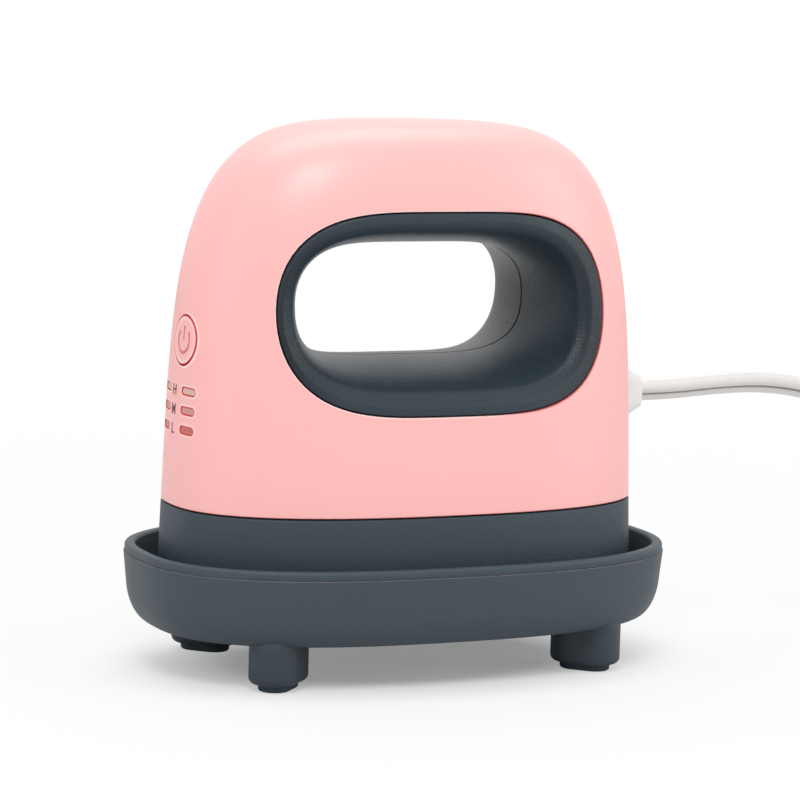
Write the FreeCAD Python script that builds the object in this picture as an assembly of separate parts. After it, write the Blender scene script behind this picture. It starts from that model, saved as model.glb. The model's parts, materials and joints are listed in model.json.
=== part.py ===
import FreeCAD
import Part
import math
import os

# Mini handheld heat press standing in its rest tray, with its power cord coiled beside it.
# Millimetres, +Z up. The origin is on the surface under the feet, below the tray's centre.
# +X is the end where the power cord leaves, -X the end with the power button, -Y the front.

# ---------------------------------------------------------------- driving sizes: rest tray
TRAY_LENGTH = 134.8
TRAY_WIDTH = 83.3
TRAY_POWER = 2.56           # superellipse power of the tray's outline
TRAY_DEPTH = 18.6           # underside to rim
TRAY_WALL = 2.8
TRAY_FLOOR = 2.6
TRAY_DRAFT = 0.096          # draw-in of the wall per mm below the parting line
TRAY_EDGE_RUN = 4.2         # how far the underside's round edge draws in
TRAY_EDGE_RISE = 8.5        # how high that round edge reaches
RIM_BAND = 2.1              # band above the mould's parting line
RIM_STEP = 0.25             # how far the band stands back
RIM_ROUND = 0.8
LEG_HEIGHT = 9.4
LEG_LENGTH = 17.2
LEG_WIDTH = 12.1
LEG_ROUND = 1.6
LEG_FROM_END = 27.0
LEG_FROM_SIDE = 17.8
FOOT_PAD_LENGTH = 12.4
FOOT_PAD_WIDTH = 7.6
FOOT_PAD_PROUD = 1.7
FOOT_PAD_SUNK = 1.6
FOOT_PAD_ROUND = 0.6
REST_PAD_RADIUS = 5.0
REST_PAD_THICKNESS = 2.6
REST_PAD_FROM_END = 18.0
REST_PAD_FROM_SIDE = 14.0

# ---------------------------------------------------------------- driving sizes: press casing
SHELL_LENGTH = 118.45       # at the seam between the shell and the skirt
SHELL_WIDTH = 65.5
SHELL_RISE = 91.4           # seam to crown
SHELL_WALL = 2.2
PLAN_POWER = 2.48           # superellipse powers: from above, from the side, from the end
SIDE_POWER = 4.1
END_POWER = 4.6
SIDE_TAPER = 0.03           # draw-in of each end and each side per mm of height
END_TAPER = 0.054
SEAM_ABOVE_PLATE = 24.4     # hot face to seam
SEAM_GAP = 0.35
TONGUE_RISE = 3.2
TONGUE_THICKNESS = 1.0
FIT_GAP = 0.1               # general clearance between moulded pieces
SKIRT_ABOVE_PLATE = 1.4     # hot face stands this far below the skirt's edge

# ---------------------------------------------------------------- driving sizes: grip opening
WINDOW_LENGTH = 85.3
WINDOW_HEIGHT = 47.9
WINDOW_POWERS = (3.95, 2.12)    # powers of its outline: along, and up
WINDOW_ABOVE_SEAM = 47.2    # seam to the window's centre
GRIP_LENGTH = 64.4          # the finger hole where it is narrowest
GRIP_HEIGHT = 27.6
GRIP_POWERS = (4.3, 2.5)
GRIP_SHIFT = -0.5           # its centre from the middle, towards the button end
GRIP_ABOVE_WINDOW = 1.3     # its centre over the window's centre
FLARE_POWER = 1.85          # superellipse power of the flare from grip to lip
MOUTH_SHIFT = -1.65         # centre of the flare's mouth from the middle
LIP_AT_ENDS = 3.2           # lip's usual width at the two ends, and above and below
LIP_ABOVE = 2.85
SLEEVE_GAP = 0.35
SLEEVE_WALL = 2.0
SLEEVE_SEAM = 0.2
LEDGE_WIDTH = 2.0
LEDGE_THICKNESS = 1.5

# ---------------------------------------------------------------- driving sizes: heating stack
PLATE_THICKNESS = 6.0
PLATE_GAP = 1.0
PLATE_EDGE_ROUND = 1.0
HEATER_DIAMETER = 6.0
HEATER_PAST_BOARD = 2.0     # each leg of the U outside the power board's side
HEATER_HOLE_GAP = 0.8       # round its ends, where they rise through the insulation and the deck
HEATER_END_X = 24.0
HEATER_BEND_X = -28.0
HEATER_TURN_UP = 7.0        # bend radius of the ends that turn up
HEATER_TIP_RISE = 15.0
HEATER_PIN_RADIUS = 1.1
HEATER_PIN_LENGTH = 3.0
PILLAR_RADIUS = 3.5
PILLAR_HEIGHT = 4.0
PILLAR_X = 20.0
PILLAR_FROM_EDGE = 5.1
SHIELD_THICKNESS = 0.8
SHIELD_GAP = 1.6
INSULATION_THICKNESS = 2.5
DECK_AIR = 2.1
DECK_THICKNESS = 2.0
SPACER_WALL = 1.5
PLATE_SCREW_RADIUS = 1.75
PLATE_SCREW_DEPTH = 6.0     # thread in the plate's pillar
HEAD_WIDEN = 1.35           # screw head radius beyond the shank's
HEAD_HEIGHT = 1.9
DRIVER_SHARE = 0.6          # driver recess, as a share of the shank's radius
SENSOR_CLIP_THICKNESS = 0.6
SENSOR_CLIP_WIDTH = 2.0
THERMISTOR_RADIUS = 1.3
THERMISTOR_LENGTH = 9.0
THERMAL_FUSE_RADIUS = 1.5
THERMAL_FUSE_LENGTH = 11.0
SENSOR_OFFSET = 8.0         # thermistor forward of the middle, thermal fuse as far behind
WIRE_HOLE_X = 14.0          # sensor wires' way up through shield, insulation and deck
WIRE_HOLE_RADIUS = 3.2

# ---------------------------------------------------------------- driving sizes: casing screws
BOSS_RADIUS = 3.2
BOSS_FROM_END = 14.5
BOSS_FROM_SIDE = 15.2
BOSS_ABOVE_SEAM = 10.0
CASE_SCREW_RADIUS = 1.4
RIB_THICKNESS = 1.6

# ---------------------------------------------------------------- driving sizes: button end
BOARD_THICKNESS = 1.6
CONTROL_BOARD_FROM_END = 10.5
CONTROL_BOARD_WIDTH = 25.0
CONTROL_BOARD_HEIGHT = 41.0
CONTROL_BOARD_BELOW_ROWS = 8.6  # its lower edge under the lowest row of lights
CONTROL_POST_RADIUS = 2.2
CONTROL_POST_SPREAD = 19.0
CONTROL_POST_MARGIN = 3.2   # post centre to the board's lower or upper edge
SMALL_SCREW_RADIUS = 1.1
SMALL_SCREW_LENGTH = 4.5
SMALL_HEAD_HEIGHT = 1.5
SCREW_TIP_GAP = 0.5         # left under a small screw's tip
BUTTON_RADIUS = 5.65
BUTTON_ABOVE_SEAM = 39.4
BUTTON_OFFSET = -2.4        # across, towards the front
BUTTON_GAP = 0.3
BUTTON_PROUD = 0.1
BUTTON_STOP_GAP = 0.3       # flange to the wall's inside
BUTTON_FLANGE_WIDTH = 1.1
BUTTON_FLANGE_THICKNESS = 1.0
BUTTON_POST_RADIUS = 2.4
BUTTON_TRAVEL = 0.5
SYMBOL_RADIUS = 3.0
SYMBOL_STROKE = 0.65
SYMBOL_DEPTH = 0.25
SYMBOL_GAP_ANGLE = 50.0     # half of the ring's opening, degrees
SWITCH_SIZE = 6.0
SWITCH_BODY_HEIGHT = 3.5
PLUNGER_RADIUS = 1.75
PLUNGER_PROUD = 1.1
PLUNGER_CLEARANCE = 0.05
PLUNGER_SUNK = 1.5
ROW_PITCH = 4.6
TOP_ROW_BELOW_BUTTON = 11.8
SLOT_SPREAD = 12.7          # between the centres of a row's two windows
SLOT_LENGTH = 6.1
SLOT_HEIGHT = 1.9
LENS_SUNK = 0.2
LENS_BAR_THICKNESS = 1.4
LENS_BAR_MARGIN = 0.7
LED_WIDTH = 2.0
LED_HEIGHT = 1.2
LED_THICKNESS = 0.8

# ---------------------------------------------------------------- driving sizes: power board
POWER_BOARD_LENGTH = 76.0
POWER_BOARD_WIDTH = 29.0
POWER_POST_HEIGHT = 8.0
POWER_POST_RADIUS = 2.4
POWER_POST_MARGIN = 4.5
TERMINAL_LENGTH = 8.0
TERMINAL_WIDTH = 12.0
TERMINAL_HEIGHT = 9.0
TERMINAL_ENTRY_HEIGHT = 3.0
TERMINAL_WELL_RADIUS = 1.6
TERMINAL_WELL_DEPTH = 2.0
FUSE_RADIUS = 2.6
FUSE_GLASS_RADIUS = 2.4
FUSE_LENGTH = 20.0
FUSE_CAP_LENGTH = 4.0
FUSE_X = -18.0              # middle of the fuse along the board
FILM_CAPACITOR_SIZE = (13.0, 6.0, 11.0)
FILM_CAPACITOR_X = 20.0
ELECTROLYTIC_RADIUS = 4.0
ELECTROLYTIC_HEIGHT = 11.0
ELECTROLYTIC_PITCH = 9.5
ELECTROLYTIC_INSET = 1.0    # can's side from the board's edge
TRIAC_SIZE = (4.5, 10.0, 12.0)
HEAT_SINK_SIZE = (2.0, 16.0, 14.0)
CONNECTOR_SIZE = (6.0, 10.0, 6.0)
CONNECTOR_INSET = 1.0       # socket's outer side from the board's end
HARNESS_RADIUS = 1.6
WIRE_RADIUS = 0.8
HEATER_WIRE_RISE = 6.0      # over the power board
HEATER_WIRE_RUN = 12.0      # from the heater's pin along to the solder point
BOARD_PAD_INSET = 1.5       # solder point from the board's edge

# ---------------------------------------------------------------- driving sizes: cord end
CORD_ABOVE_SEAM = 24.05
CORD_WIDTH = 6.2            # flat twin lead, across its two cores
CORD_THICKNESS = 3.2
RELIEF_BASE_HALF = (5.6, 7.0)    # half of its width and of its height at the shell's end
RELIEF_TIP_HALF = (3.3, 3.8)
RELIEF_POWER = 5.0
RELIEF_PROUD = 5.8          # tip beyond the shell's end at the seam
RELIEF_TIP_BEVEL = 0.4
RELIEF_FOOT = 2.0           # how far its taper reaches in behind the shell's end
RELIEF_NECK_RADIUS = 4.2
RELIEF_FLANGE_RADIUS = 5.6
RELIEF_FLANGE_THICKNESS = 1.4
INNER_CORD_RADIUS = 2.2
INNER_CORD_BEND = 6.6
INNER_CORD_FROM_END = 11.4  # where it runs down, from the shell's end at the seam
CLAMP_BELOW_CORD = 11.3
CLAMP_LENGTH = 17.0
CLAMP_HEIGHT = 5.0
CLAMP_THICKNESS = 2.4
CLAMP_POST_SPREAD = 11.6
CLAMP_POST_RADIUS = 2.2

# ---------------------------------------------------------------- driving sizes: free cord
# The loose lead's points: along X and Y from the strain relief's tip, and height above the floor.
LEAD_ROUTE = [
    (0.0, 0.0, 64.75),
    (9.5, 0.0, 64.75),
    (22.0, 0.0, 65.8),
    (37.0, -0.6, 66.2),
    (51.5, -3.6, 63.8),
    (66.5, -10.0, 54.0),
    (79.0, -19.0, 40.0),
    (90.5, -28.0, 25.6),
    (104.5, -34.0, 15.4),
    (121.0, -35.8, 11.9),
]
COIL_FROM_TIP = 115.0       # coil's centre beyond the strain relief's tip
COIL_INNER_RADIUS = 25.5
COIL_OUTER_RADIUS = 38.6
COIL_HEIGHT = 13.6
COIL_ROUND = 3.0
COIL_TURNS = 8
# The short tail's points: along X and Y from the coil's centre, and height above the floor.
TAIL_ROUTE = [
    (20.1, -28.7, 3.1),
    (33.5, -20.5, 3.3),
    (44.5, -10.0, 6.0),
    (51.5, 1.5, 6.0),
]
PLUG_NECK_RADIUS = 4.2
PLUG_NECK_TIP_RADIUS = 3.36
PLUG_NECK_LENGTH = 9.0
PLUG_LENGTH = 20.0
PLUG_WIDTH = 24.0
PLUG_THICKNESS = 12.0
PLUG_CORNER = 3.0
BLADE_WIDTH = 6.35
BLADE_THICKNESS = 1.5
BLADE_LENGTH = 17.0
BLADE_SPREAD = 12.7
BLADE_SUNK = 5.0

# ---------------------------------------------------------------- how finely curves are set out
OUTLINE_POINTS = 40
CROWN_STATIONS = 13
CROWN_END = 0.96            # last crown section, as a share of the quarter turn to the top
FLARE_STATIONS = 9
EDGE_STATIONS = 5
BEND_SHARE = 0.45           # of the shorter run, taken up by a bend
REACH_HALVINGS = 40         # steps in finding a point of an outline
WELD = 1.0                  # how far pieces of one moulding run into each other

# ---------------------------------------------------------------- heights and places
TRAY_UNDERSIDE = FOOT_PAD_PROUD + LEG_HEIGHT
RIM_TOP = TRAY_UNDERSIDE + TRAY_DEPTH
PARTING = RIM_TOP - RIM_BAND
TRAY_INSIDE = TRAY_UNDERSIDE + TRAY_FLOOR
PLATE_BOTTOM = TRAY_INSIDE + REST_PAD_THICKNESS
PLATE_TOP = PLATE_BOTTOM + PLATE_THICKNESS
PILLAR_TOP = PLATE_TOP + PILLAR_HEIGHT
SHIELD_TOP = PILLAR_TOP + SHIELD_THICKNESS
DECK_BOTTOM = SHIELD_TOP + INSULATION_THICKNESS + DECK_AIR
DECK_TOP = DECK_BOTTOM + DECK_THICKNESS
SEAM = PLATE_BOTTOM + SEAM_ABOVE_PLATE
SKIRT_BOTTOM = PLATE_BOTTOM + SKIRT_ABOVE_PLATE
POWER_BOARD_BOTTOM = DECK_TOP + POWER_POST_HEIGHT
POWER_BOARD_TOP = POWER_BOARD_BOTTOM + BOARD_THICKNESS
WINDOW_Z = SEAM + WINDOW_ABOVE_SEAM
BUTTON_Z = SEAM + BUTTON_ABOVE_SEAM
CORD_Z = SEAM + CORD_ABOVE_SEAM
HALF_LENGTH = SHELL_LENGTH / 2
HALF_WIDTH = SHELL_WIDTH / 2
HEATER_SPREAD = POWER_BOARD_WIDTH + 2 * HEATER_PAST_BOARD
BOARD_FACE_X = CONTROL_BOARD_FROM_END - HALF_LENGTH
BOARD_BACK_X = BOARD_FACE_X + BOARD_THICKNESS
BOARD_LOW_Z = BUTTON_Z - TOP_ROW_BELOW_BUTTON - 2 * ROW_PITCH - CONTROL_BOARD_BELOW_ROWS
RELIEF_TIP_X = HALF_LENGTH + RELIEF_PROUD
CORD_INNER_X = HALF_LENGTH - INNER_CORD_FROM_END
CLAMP_Z = CORD_Z - CLAMP_BELOW_CORD
CLAMP_FACE_X = CORD_INNER_X - INNER_CORD_RADIUS

V = FreeCAD.Vector
UP = V(0, 0, 1)


# ---------------------------------------------------------------- curves and skins
def outline_reach(across, along, powers):
    """How far out along a direction the outline |a|^powers[0] + |b|^powers[1] = 1 lies."""
    low, high = 0.0, 2.0
    for _ in range(REACH_HALVINGS):
        middle = (low + high) / 2
        if abs(middle * across) ** powers[0] + abs(middle * along) ** powers[1] < 1:
            low = middle
        else:
            high = middle
    return middle


def rounded_pairs(half_a, half_b, powers):
    """Points round a superellipse with a power for each way, evenly turned before stretching."""
    pairs = []
    for step in range(OUTLINE_POINTS):
        turn = 2 * math.pi * step / OUTLINE_POINTS
        across, along = math.cos(turn), math.sin(turn)
        reach = outline_reach(across, along, powers)
        pairs.append((half_a * across * reach, half_b * along * reach))
    return pairs


def closed_curve(points):
    curve = Part.BSplineCurve()
    curve.interpolate(Points=points, PeriodicFlag=True)
    return Part.Wire([curve.toShape()])


def level_curve(half_x, half_y, power, height):
    return closed_curve([V(x, y, height) for x, y in rounded_pairs(half_x, half_y, (power, power))])


def skin(wires, smooth=False):
    """Faces through closed curves: smooth through all of them, or straight from each to the next."""
    return Part.makeLoft(wires, False, not smooth).Faces


def sewn_solid(faces):
    shell = Part.makeShell(faces)
    shell.sewShape()
    solid = Part.makeSolid(shell)
    if solid.Volume < 0:
        solid.reverse()
    return solid


def quarter_turns(count):
    return [math.pi / 2 * step / count for step in range(count + 1)]


def cylinder(radius, start, end):
    """Round bar between two points."""
    along = end - start
    return Part.makeCylinder(radius, along.Length, start, along)


def block(low, size):
    return Part.makeBox(size[0], size[1], size[2], low)


def mirrored_places(x, y):
    return [(side_x * x, side_y * y) for side_x in (-1, 1) for side_y in (-1, 1)]


def stadium_face(length, height, centre):
    """Slot outline in the YZ plane, long along Y, with half-round ends."""
    radius = height / 2
    reach = length / 2 - radius
    low_left = centre + V(0, -reach, -radius)
    low_right = centre + V(0, reach, -radius)
    high_right = centre + V(0, reach, radius)
    high_left = centre + V(0, -reach, radius)
    edges = [
        Part.makeLine(low_left, low_right),
        Part.Arc(low_right, centre + V(0, reach + radius, 0), high_right).toShape(),
        Part.makeLine(high_right, high_left),
        Part.Arc(high_left, centre - V(0, reach + radius, 0), low_left).toShape(),
    ]
    return Part.Face(Part.Wire(edges))


def pad_prism(length, width, bottom, top):
    """Upright bar of slot outline, long along X, centred over the origin."""
    face = stadium_face(length, width, V(0, 0, 0))
    face.rotate(V(0, 0, 0), V(0, 1, 0), 90)
    face.rotate(V(0, 0, 0), UP, 90)
    face.translate(V(0, 0, bottom))
    return face.extrude(V(0, 0, top - bottom))


def bent_path(points):
    """Straight runs joined by tangent arcs, each as large as its two runs allow.

    Returns the path and the radius of each arc.
    """
    edges = []
    radii = []
    start = points[0]
    for before, corner, after in zip(points, points[1:], points[2:]):
        back = before - corner
        ahead = after - corner
        shorter = min(back.Length, ahead.Length)
        half_turn = (math.pi - back.getAngle(ahead)) / 2
        radii.append(BEND_SHARE * shorter / math.tan(half_turn))
        back.normalize()
        ahead.normalize()
        enter = corner + back * BEND_SHARE * shorter
        leave = corner + ahead * BEND_SHARE * shorter
        bisector = back + ahead
        bisector.normalize()
        middle = corner + bisector * (radii[-1] / math.cos(half_turn) - radii[-1])
        edges.append(Part.makeLine(start, enter))
        edges.append(Part.Arc(enter, middle, leave).toShape())
        start = leave
    edges.append(Part.makeLine(start, points[-1]))
    return Part.Wire(edges), radii


def tube(points, radius):
    """Round bar along a bent path."""
    path, radii = bent_path(points)
    ring = Part.makeCircle(radius, points[0], points[1] - points[0])
    return path.makePipe(Part.Face(Part.Wire([ring]))), path, radii


def screw(head_base, pointing, shank_radius, shank_length, head_height):
    """Pan-head screw: the head stands on head_base, the shank runs along pointing."""
    pointing = pointing / pointing.Length
    head = cylinder(shank_radius + HEAD_WIDEN, head_base - pointing * head_height, head_base)
    shank = cylinder(shank_radius, head_base, head_base + pointing * shank_length)
    driver = cylinder(shank_radius * DRIVER_SHARE, head_base - pointing * head_height,
                      head_base - pointing * head_height / 2)
    return head.fuse(shank).cut(driver).removeSplitter()


# ---------------------------------------------------------------- the press's outer form
def form_half(height, inset):
    """Half length and half width of the form at a height, drawn in by inset all round."""
    climb = height - SEAM
    share = min(max(climb / (SHELL_RISE - inset), 0.0), 1.0)
    half_x = HALF_LENGTH - inset - SIDE_TAPER * climb
    half_y = HALF_WIDTH - inset - END_TAPER * climb
    half_x *= (1 - share ** SIDE_POWER) ** (1 / SIDE_POWER)
    half_y *= (1 - share ** END_POWER) ** (1 / END_POWER)
    return half_x, half_y


def form_curve(height, inset):
    half_x, half_y = form_half(height, inset)
    return level_curve(half_x, half_y, PLAN_POWER, height)


def crown_heights(inset):
    """Heights from the seam to the crown, evenly turned round the side profile."""
    heights = []
    for turn in quarter_turns(CROWN_STATIONS)[:-1] + [CROWN_END * math.pi / 2]:
        reach = (math.cos(turn) ** SIDE_POWER + math.sin(turn) ** SIDE_POWER) ** (-1 / SIDE_POWER)
        heights.append(SEAM + (SHELL_RISE - inset) * math.sin(turn) * reach)
    return sorted(heights)


def press_form(inset):
    """Solid of the form from the seam to the crown."""
    curves = [form_curve(height, inset) for height in crown_heights(inset)]
    return sewn_solid(skin(curves, smooth=True) + [Part.Face(curves[0]), Part.Face(curves[-1])])


def form_depth(x, height, inset):
    """How far the form's side stands from the middle plane at a place along it."""
    half_x, half_y = form_half(height, inset)
    return half_y * max(1 - (abs(x) / half_x) ** PLAN_POWER, 0.0) ** (1 / PLAN_POWER)


def form_end(y, height, inset):
    """How far the form's end stands from the centre at a place across it."""
    half_x, half_y = form_half(height, inset)
    return half_x * max(1 - (abs(y) / half_y) ** PLAN_POWER, 0.0) ** (1 / PLAN_POWER)


# ---------------------------------------------------------------- rest tray
def tray_curve(inset, height):
    """Outline of the tray at a height. The wall draws in below the parting line."""
    inset += TRAY_DRAFT * max(PARTING - height, 0.0)
    return level_curve(TRAY_LENGTH / 2 - inset, TRAY_WIDTH / 2 - inset, TRAY_POWER, height)


def tray_edge(inset, low, run, rise):
    """Curves up the round edge between a flat floor and an upright wall."""
    curves = []
    for turn in quarter_turns(EDGE_STATIONS):
        curves.append(tray_curve(inset + run * (1 - math.sin(turn)), low + rise * (1 - math.cos(turn))))
    return curves


def tray_inside_faces(top_curve):
    edge = tray_edge(TRAY_WALL, TRAY_INSIDE, TRAY_EDGE_RUN, TRAY_EDGE_RISE - TRAY_FLOOR)
    parting = tray_curve(TRAY_WALL, PARTING)
    wall = skin([top_curve, parting]) + skin([parting, edge[-1]])
    return wall + skin(edge, smooth=True) + [Part.Face(edge[0])]


def tray_bowl():
    outer = tray_edge(0.0, TRAY_UNDERSIDE, TRAY_EDGE_RUN, TRAY_EDGE_RISE)
    shoulder = RIM_TOP - RIM_ROUND
    outer_round = []
    inner_round = []
    for turn in quarter_turns(EDGE_STATIONS):
        drawn_in = RIM_ROUND * (1 - math.cos(turn))
        height = shoulder + RIM_ROUND * math.sin(turn)
        outer_round.append(tray_curve(RIM_STEP + drawn_in, height))
        inner_round.append(tray_curve(TRAY_WALL - drawn_in, height))
    faces = [Part.Face(outer[0])] + skin(outer, smooth=True)
    band = [outer[-1], tray_curve(0.0, PARTING), tray_curve(RIM_STEP, PARTING), outer_round[0]]
    for low, high in zip(band, band[1:]):
        faces += skin([low, high])
    faces += skin(outer_round, smooth=True)
    faces += skin([outer_round[-1], inner_round[-1]])
    faces += skin(inner_round, smooth=True)
    faces += tray_inside_faces(inner_round[0])
    return sewn_solid(faces)


def tray_inside():
    """The hollow of the tray, up to its rim."""
    top = tray_curve(TRAY_WALL, RIM_TOP)
    return sewn_solid(tray_inside_faces(top) + [Part.Face(top)])


def feet_places():
    """Position and turn of each leg: they point at the tray's centre."""
    x = TRAY_LENGTH / 2 - LEG_FROM_END
    y = TRAY_WIDTH / 2 - LEG_FROM_SIDE
    return [(V(px, py, 0), 45 if px * py > 0 else -45) for px, py in mirrored_places(x, y)]


def placed(shape, place, turn):
    copy = shape.copy()
    copy.rotate(V(0, 0, 0), UP, turn)
    copy.translate(place)
    return copy


def round_lowest_edges(shape, radius):
    low = shape.BoundBox.ZMin
    edges = [edge for edge in shape.Edges if abs(edge.BoundBox.ZMax - low) < 1e-6]
    return shape.makeFillet(radius, edges)


def stand_tray():
    leg = pad_prism(LEG_LENGTH, LEG_WIDTH, FOOT_PAD_PROUD, TRAY_INSIDE)
    leg = round_lowest_edges(leg, LEG_ROUND)
    leg = leg.cut(pad_prism(FOOT_PAD_LENGTH, FOOT_PAD_WIDTH, 0.0, FOOT_PAD_PROUD + FOOT_PAD_SUNK))
    legs = [placed(leg, place, turn) for place, turn in feet_places()]
    hollow = tray_inside()
    return tray_bowl().fuse([leg.cut(hollow) for leg in legs])


def stand_foot_pads():
    pad = pad_prism(FOOT_PAD_LENGTH, FOOT_PAD_WIDTH, 0.0, FOOT_PAD_PROUD + FOOT_PAD_SUNK)
    pad = round_lowest_edges(pad, FOOT_PAD_ROUND)
    return Part.makeCompound([placed(pad, place, turn) for place, turn in feet_places()])


def stand_support_pads():
    half_x, half_y = plate_half()
    pads = []
    for x, y in mirrored_places(half_x - REST_PAD_FROM_END, half_y - REST_PAD_FROM_SIDE):
        pads.append(Part.makeCylinder(REST_PAD_RADIUS, REST_PAD_THICKNESS, V(x, y, TRAY_INSIDE)))
    return Part.makeCompound(pads)


# ---------------------------------------------------------------- casing: skirt and shell
def boss_places():
    return mirrored_places(HALF_LENGTH - BOSS_FROM_END, HALF_WIDTH - BOSS_FROM_SIDE)


def pillar_places():
    return mirrored_places(PILLAR_X, plate_half()[1] - PILLAR_FROM_EDGE)


def heater_tip_places():
    x = HEATER_END_X + HEATER_TURN_UP
    return [(x, side * HEATER_SPREAD / 2) for side in (-1, 1)]


def power_post_places():
    x = POWER_BOARD_LENGTH / 2 - POWER_POST_MARGIN
    y = POWER_BOARD_WIDTH / 2 - POWER_POST_MARGIN
    return mirrored_places(x, y)


def upright(radius, x, y, low, high):
    return Part.makeCylinder(radius, high - low, V(x, y, low))


def skirt_body():
    """Skirt wall, the tongue that enters the shell, and the deck across the middle."""
    edge = SEAM - SEAM_GAP
    tongue_out = SHELL_WALL - TONGUE_THICKNESS
    under = [form_curve(DECK_BOTTOM, SHELL_WALL), form_curve(SKIRT_BOTTOM, SHELL_WALL),
             form_curve(SKIRT_BOTTOM, 0.0), form_curve(edge, 0.0), form_curve(edge, tongue_out),
             form_curve(SEAM + TONGUE_RISE, tongue_out), form_curve(SEAM + TONGUE_RISE, SHELL_WALL),
             form_curve(DECK_TOP, SHELL_WALL)]
    faces = [Part.Face(under[0]), Part.Face(under[-1])]
    for first, second in zip(under, under[1:]):
        faces += skin([first, second])
    return sewn_solid(faces)


def base_skirt():
    skirt = skirt_body()
    posts = [upright(POWER_POST_RADIUS, x, y, DECK_TOP, POWER_BOARD_BOTTOM)
             for x, y in power_post_places()]
    holes = []
    for x, y in power_post_places():
        holes.append(upright(SMALL_SCREW_RADIUS, x, y, POWER_BOARD_BOTTOM - SMALL_SCREW_LENGTH,
                             POWER_BOARD_BOTTOM))
    for x, y in pillar_places():
        holes.append(upright(PLATE_SCREW_RADIUS + FIT_GAP, x, y, DECK_BOTTOM, DECK_TOP))
    for x, y in boss_places():
        holes.append(upright(CASE_SCREW_RADIUS + FIT_GAP, x, y, DECK_BOTTOM, DECK_TOP))
    for x, y in heater_tip_places():
        holes.append(upright(HEATER_DIAMETER / 2 + HEATER_HOLE_GAP, x, y, DECK_BOTTOM, DECK_TOP))
    holes.append(upright(WIRE_HOLE_RADIUS, WIRE_HOLE_X, 0, DECK_BOTTOM, DECK_TOP))
    return skirt.fuse(posts).cut(Part.makeCompound(holes))


def window_curve(grow, y):
    pairs = rounded_pairs(WINDOW_LENGTH / 2 + grow, WINDOW_HEIGHT / 2 + grow, WINDOW_POWERS)
    return closed_curve([V(x, y, WINDOW_Z + z) for x, z in pairs])


def shell_bosses():
    """Screw bosses at the four corners, each tied to the side wall by a rib."""
    pieces = []
    top = SEAM + BOSS_ABOVE_SEAM
    rib_low = SEAM + TONGUE_RISE + 2 * FIT_GAP
    for x, y in boss_places():
        pieces.append(upright(BOSS_RADIUS, x, y, DECK_TOP, top))
        reach = form_depth(x, (rib_low + top) / 2, SHELL_WALL / 2) - abs(y)
        start = V(x - RIB_THICKNESS / 2, min(y, y + math.copysign(reach, y)), rib_low)
        pieces.append(block(start, (RIB_THICKNESS, reach, top - rib_low)))
    return pieces


def control_post_places():
    low = BOARD_LOW_Z + CONTROL_POST_MARGIN
    high = BOARD_LOW_Z + CONTROL_BOARD_HEIGHT - CONTROL_POST_MARGIN
    return [(side * CONTROL_POST_SPREAD / 2, z) for side in (-1, 1) for z in (low, high)]


def clamp_post_places():
    return [side * CLAMP_POST_SPREAD / 2 for side in (-1, 1)]


def shell_posts():
    """Posts from the two end walls: for the control board, and for the cord clamp."""
    posts = []
    for y, z in control_post_places():
        wall = V(-form_end(y, z, SHELL_WALL / 2), y, z)
        posts.append(cylinder(CONTROL_POST_RADIUS, wall, V(BOARD_FACE_X, y, z)))
    for y in clamp_post_places():
        wall = V(form_end(y, CLAMP_Z, SHELL_WALL / 2), y, CLAMP_Z)
        posts.append(cylinder(CLAMP_POST_RADIUS, wall, V(CLAMP_FACE_X, y, CLAMP_Z)))
    return posts


def row_heights():
    top = BUTTON_Z - TOP_ROW_BELOW_BUTTON
    return {"high": top, "medium": top - ROW_PITCH, "low": top - 2 * ROW_PITCH}


def row_windows(height, shrink, inner_x):
    """The two see-through bars of a row, from outside the end wall to a place behind it."""
    bars = []
    for side in (-1, 1):
        centre = V(-SHELL_LENGTH, side * SLOT_SPREAD / 2, height)
        face = stadium_face(SLOT_LENGTH - 2 * shrink, SLOT_HEIGHT - 2 * shrink, centre)
        bars.append(face.extrude(V(inner_x - centre.x, 0, 0)))
    return bars


def shell_openings():
    """Everything that goes through the shell's wall, and the screws' pilot holes."""
    window = Part.Face(window_curve(0.0, -SHELL_WIDTH)).extrude(V(0, 2 * SHELL_WIDTH, 0))
    cuts = [window]
    cuts.append(cylinder(BUTTON_RADIUS + BUTTON_GAP, V(-SHELL_LENGTH, BUTTON_OFFSET, BUTTON_Z),
                         V(BOARD_FACE_X, BUTTON_OFFSET, BUTTON_Z)))
    for height in row_heights().values():
        cuts += row_windows(height, 0.0, (BOARD_FACE_X - HALF_LENGTH) / 2)
    cuts.append(cylinder(RELIEF_NECK_RADIUS, V(CORD_INNER_X, 0, CORD_Z), V(SHELL_LENGTH, 0, CORD_Z)))
    for x, y in boss_places():
        cuts.append(upright(CASE_SCREW_RADIUS, x, y, DECK_TOP, SEAM + BOSS_ABOVE_SEAM - RIB_THICKNESS))
    for y, z in control_post_places():
        cuts.append(cylinder(SMALL_SCREW_RADIUS, V(BOARD_FACE_X, y, z),
                             V(BOARD_FACE_X - SMALL_SCREW_LENGTH, y, z)))
    for y in clamp_post_places():
        cuts.append(cylinder(SMALL_SCREW_RADIUS, V(CLAMP_FACE_X, y, CLAMP_Z),
                             V(CLAMP_FACE_X + SMALL_SCREW_LENGTH, y, CLAMP_Z)))
    return Part.makeCompound(cuts)


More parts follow.
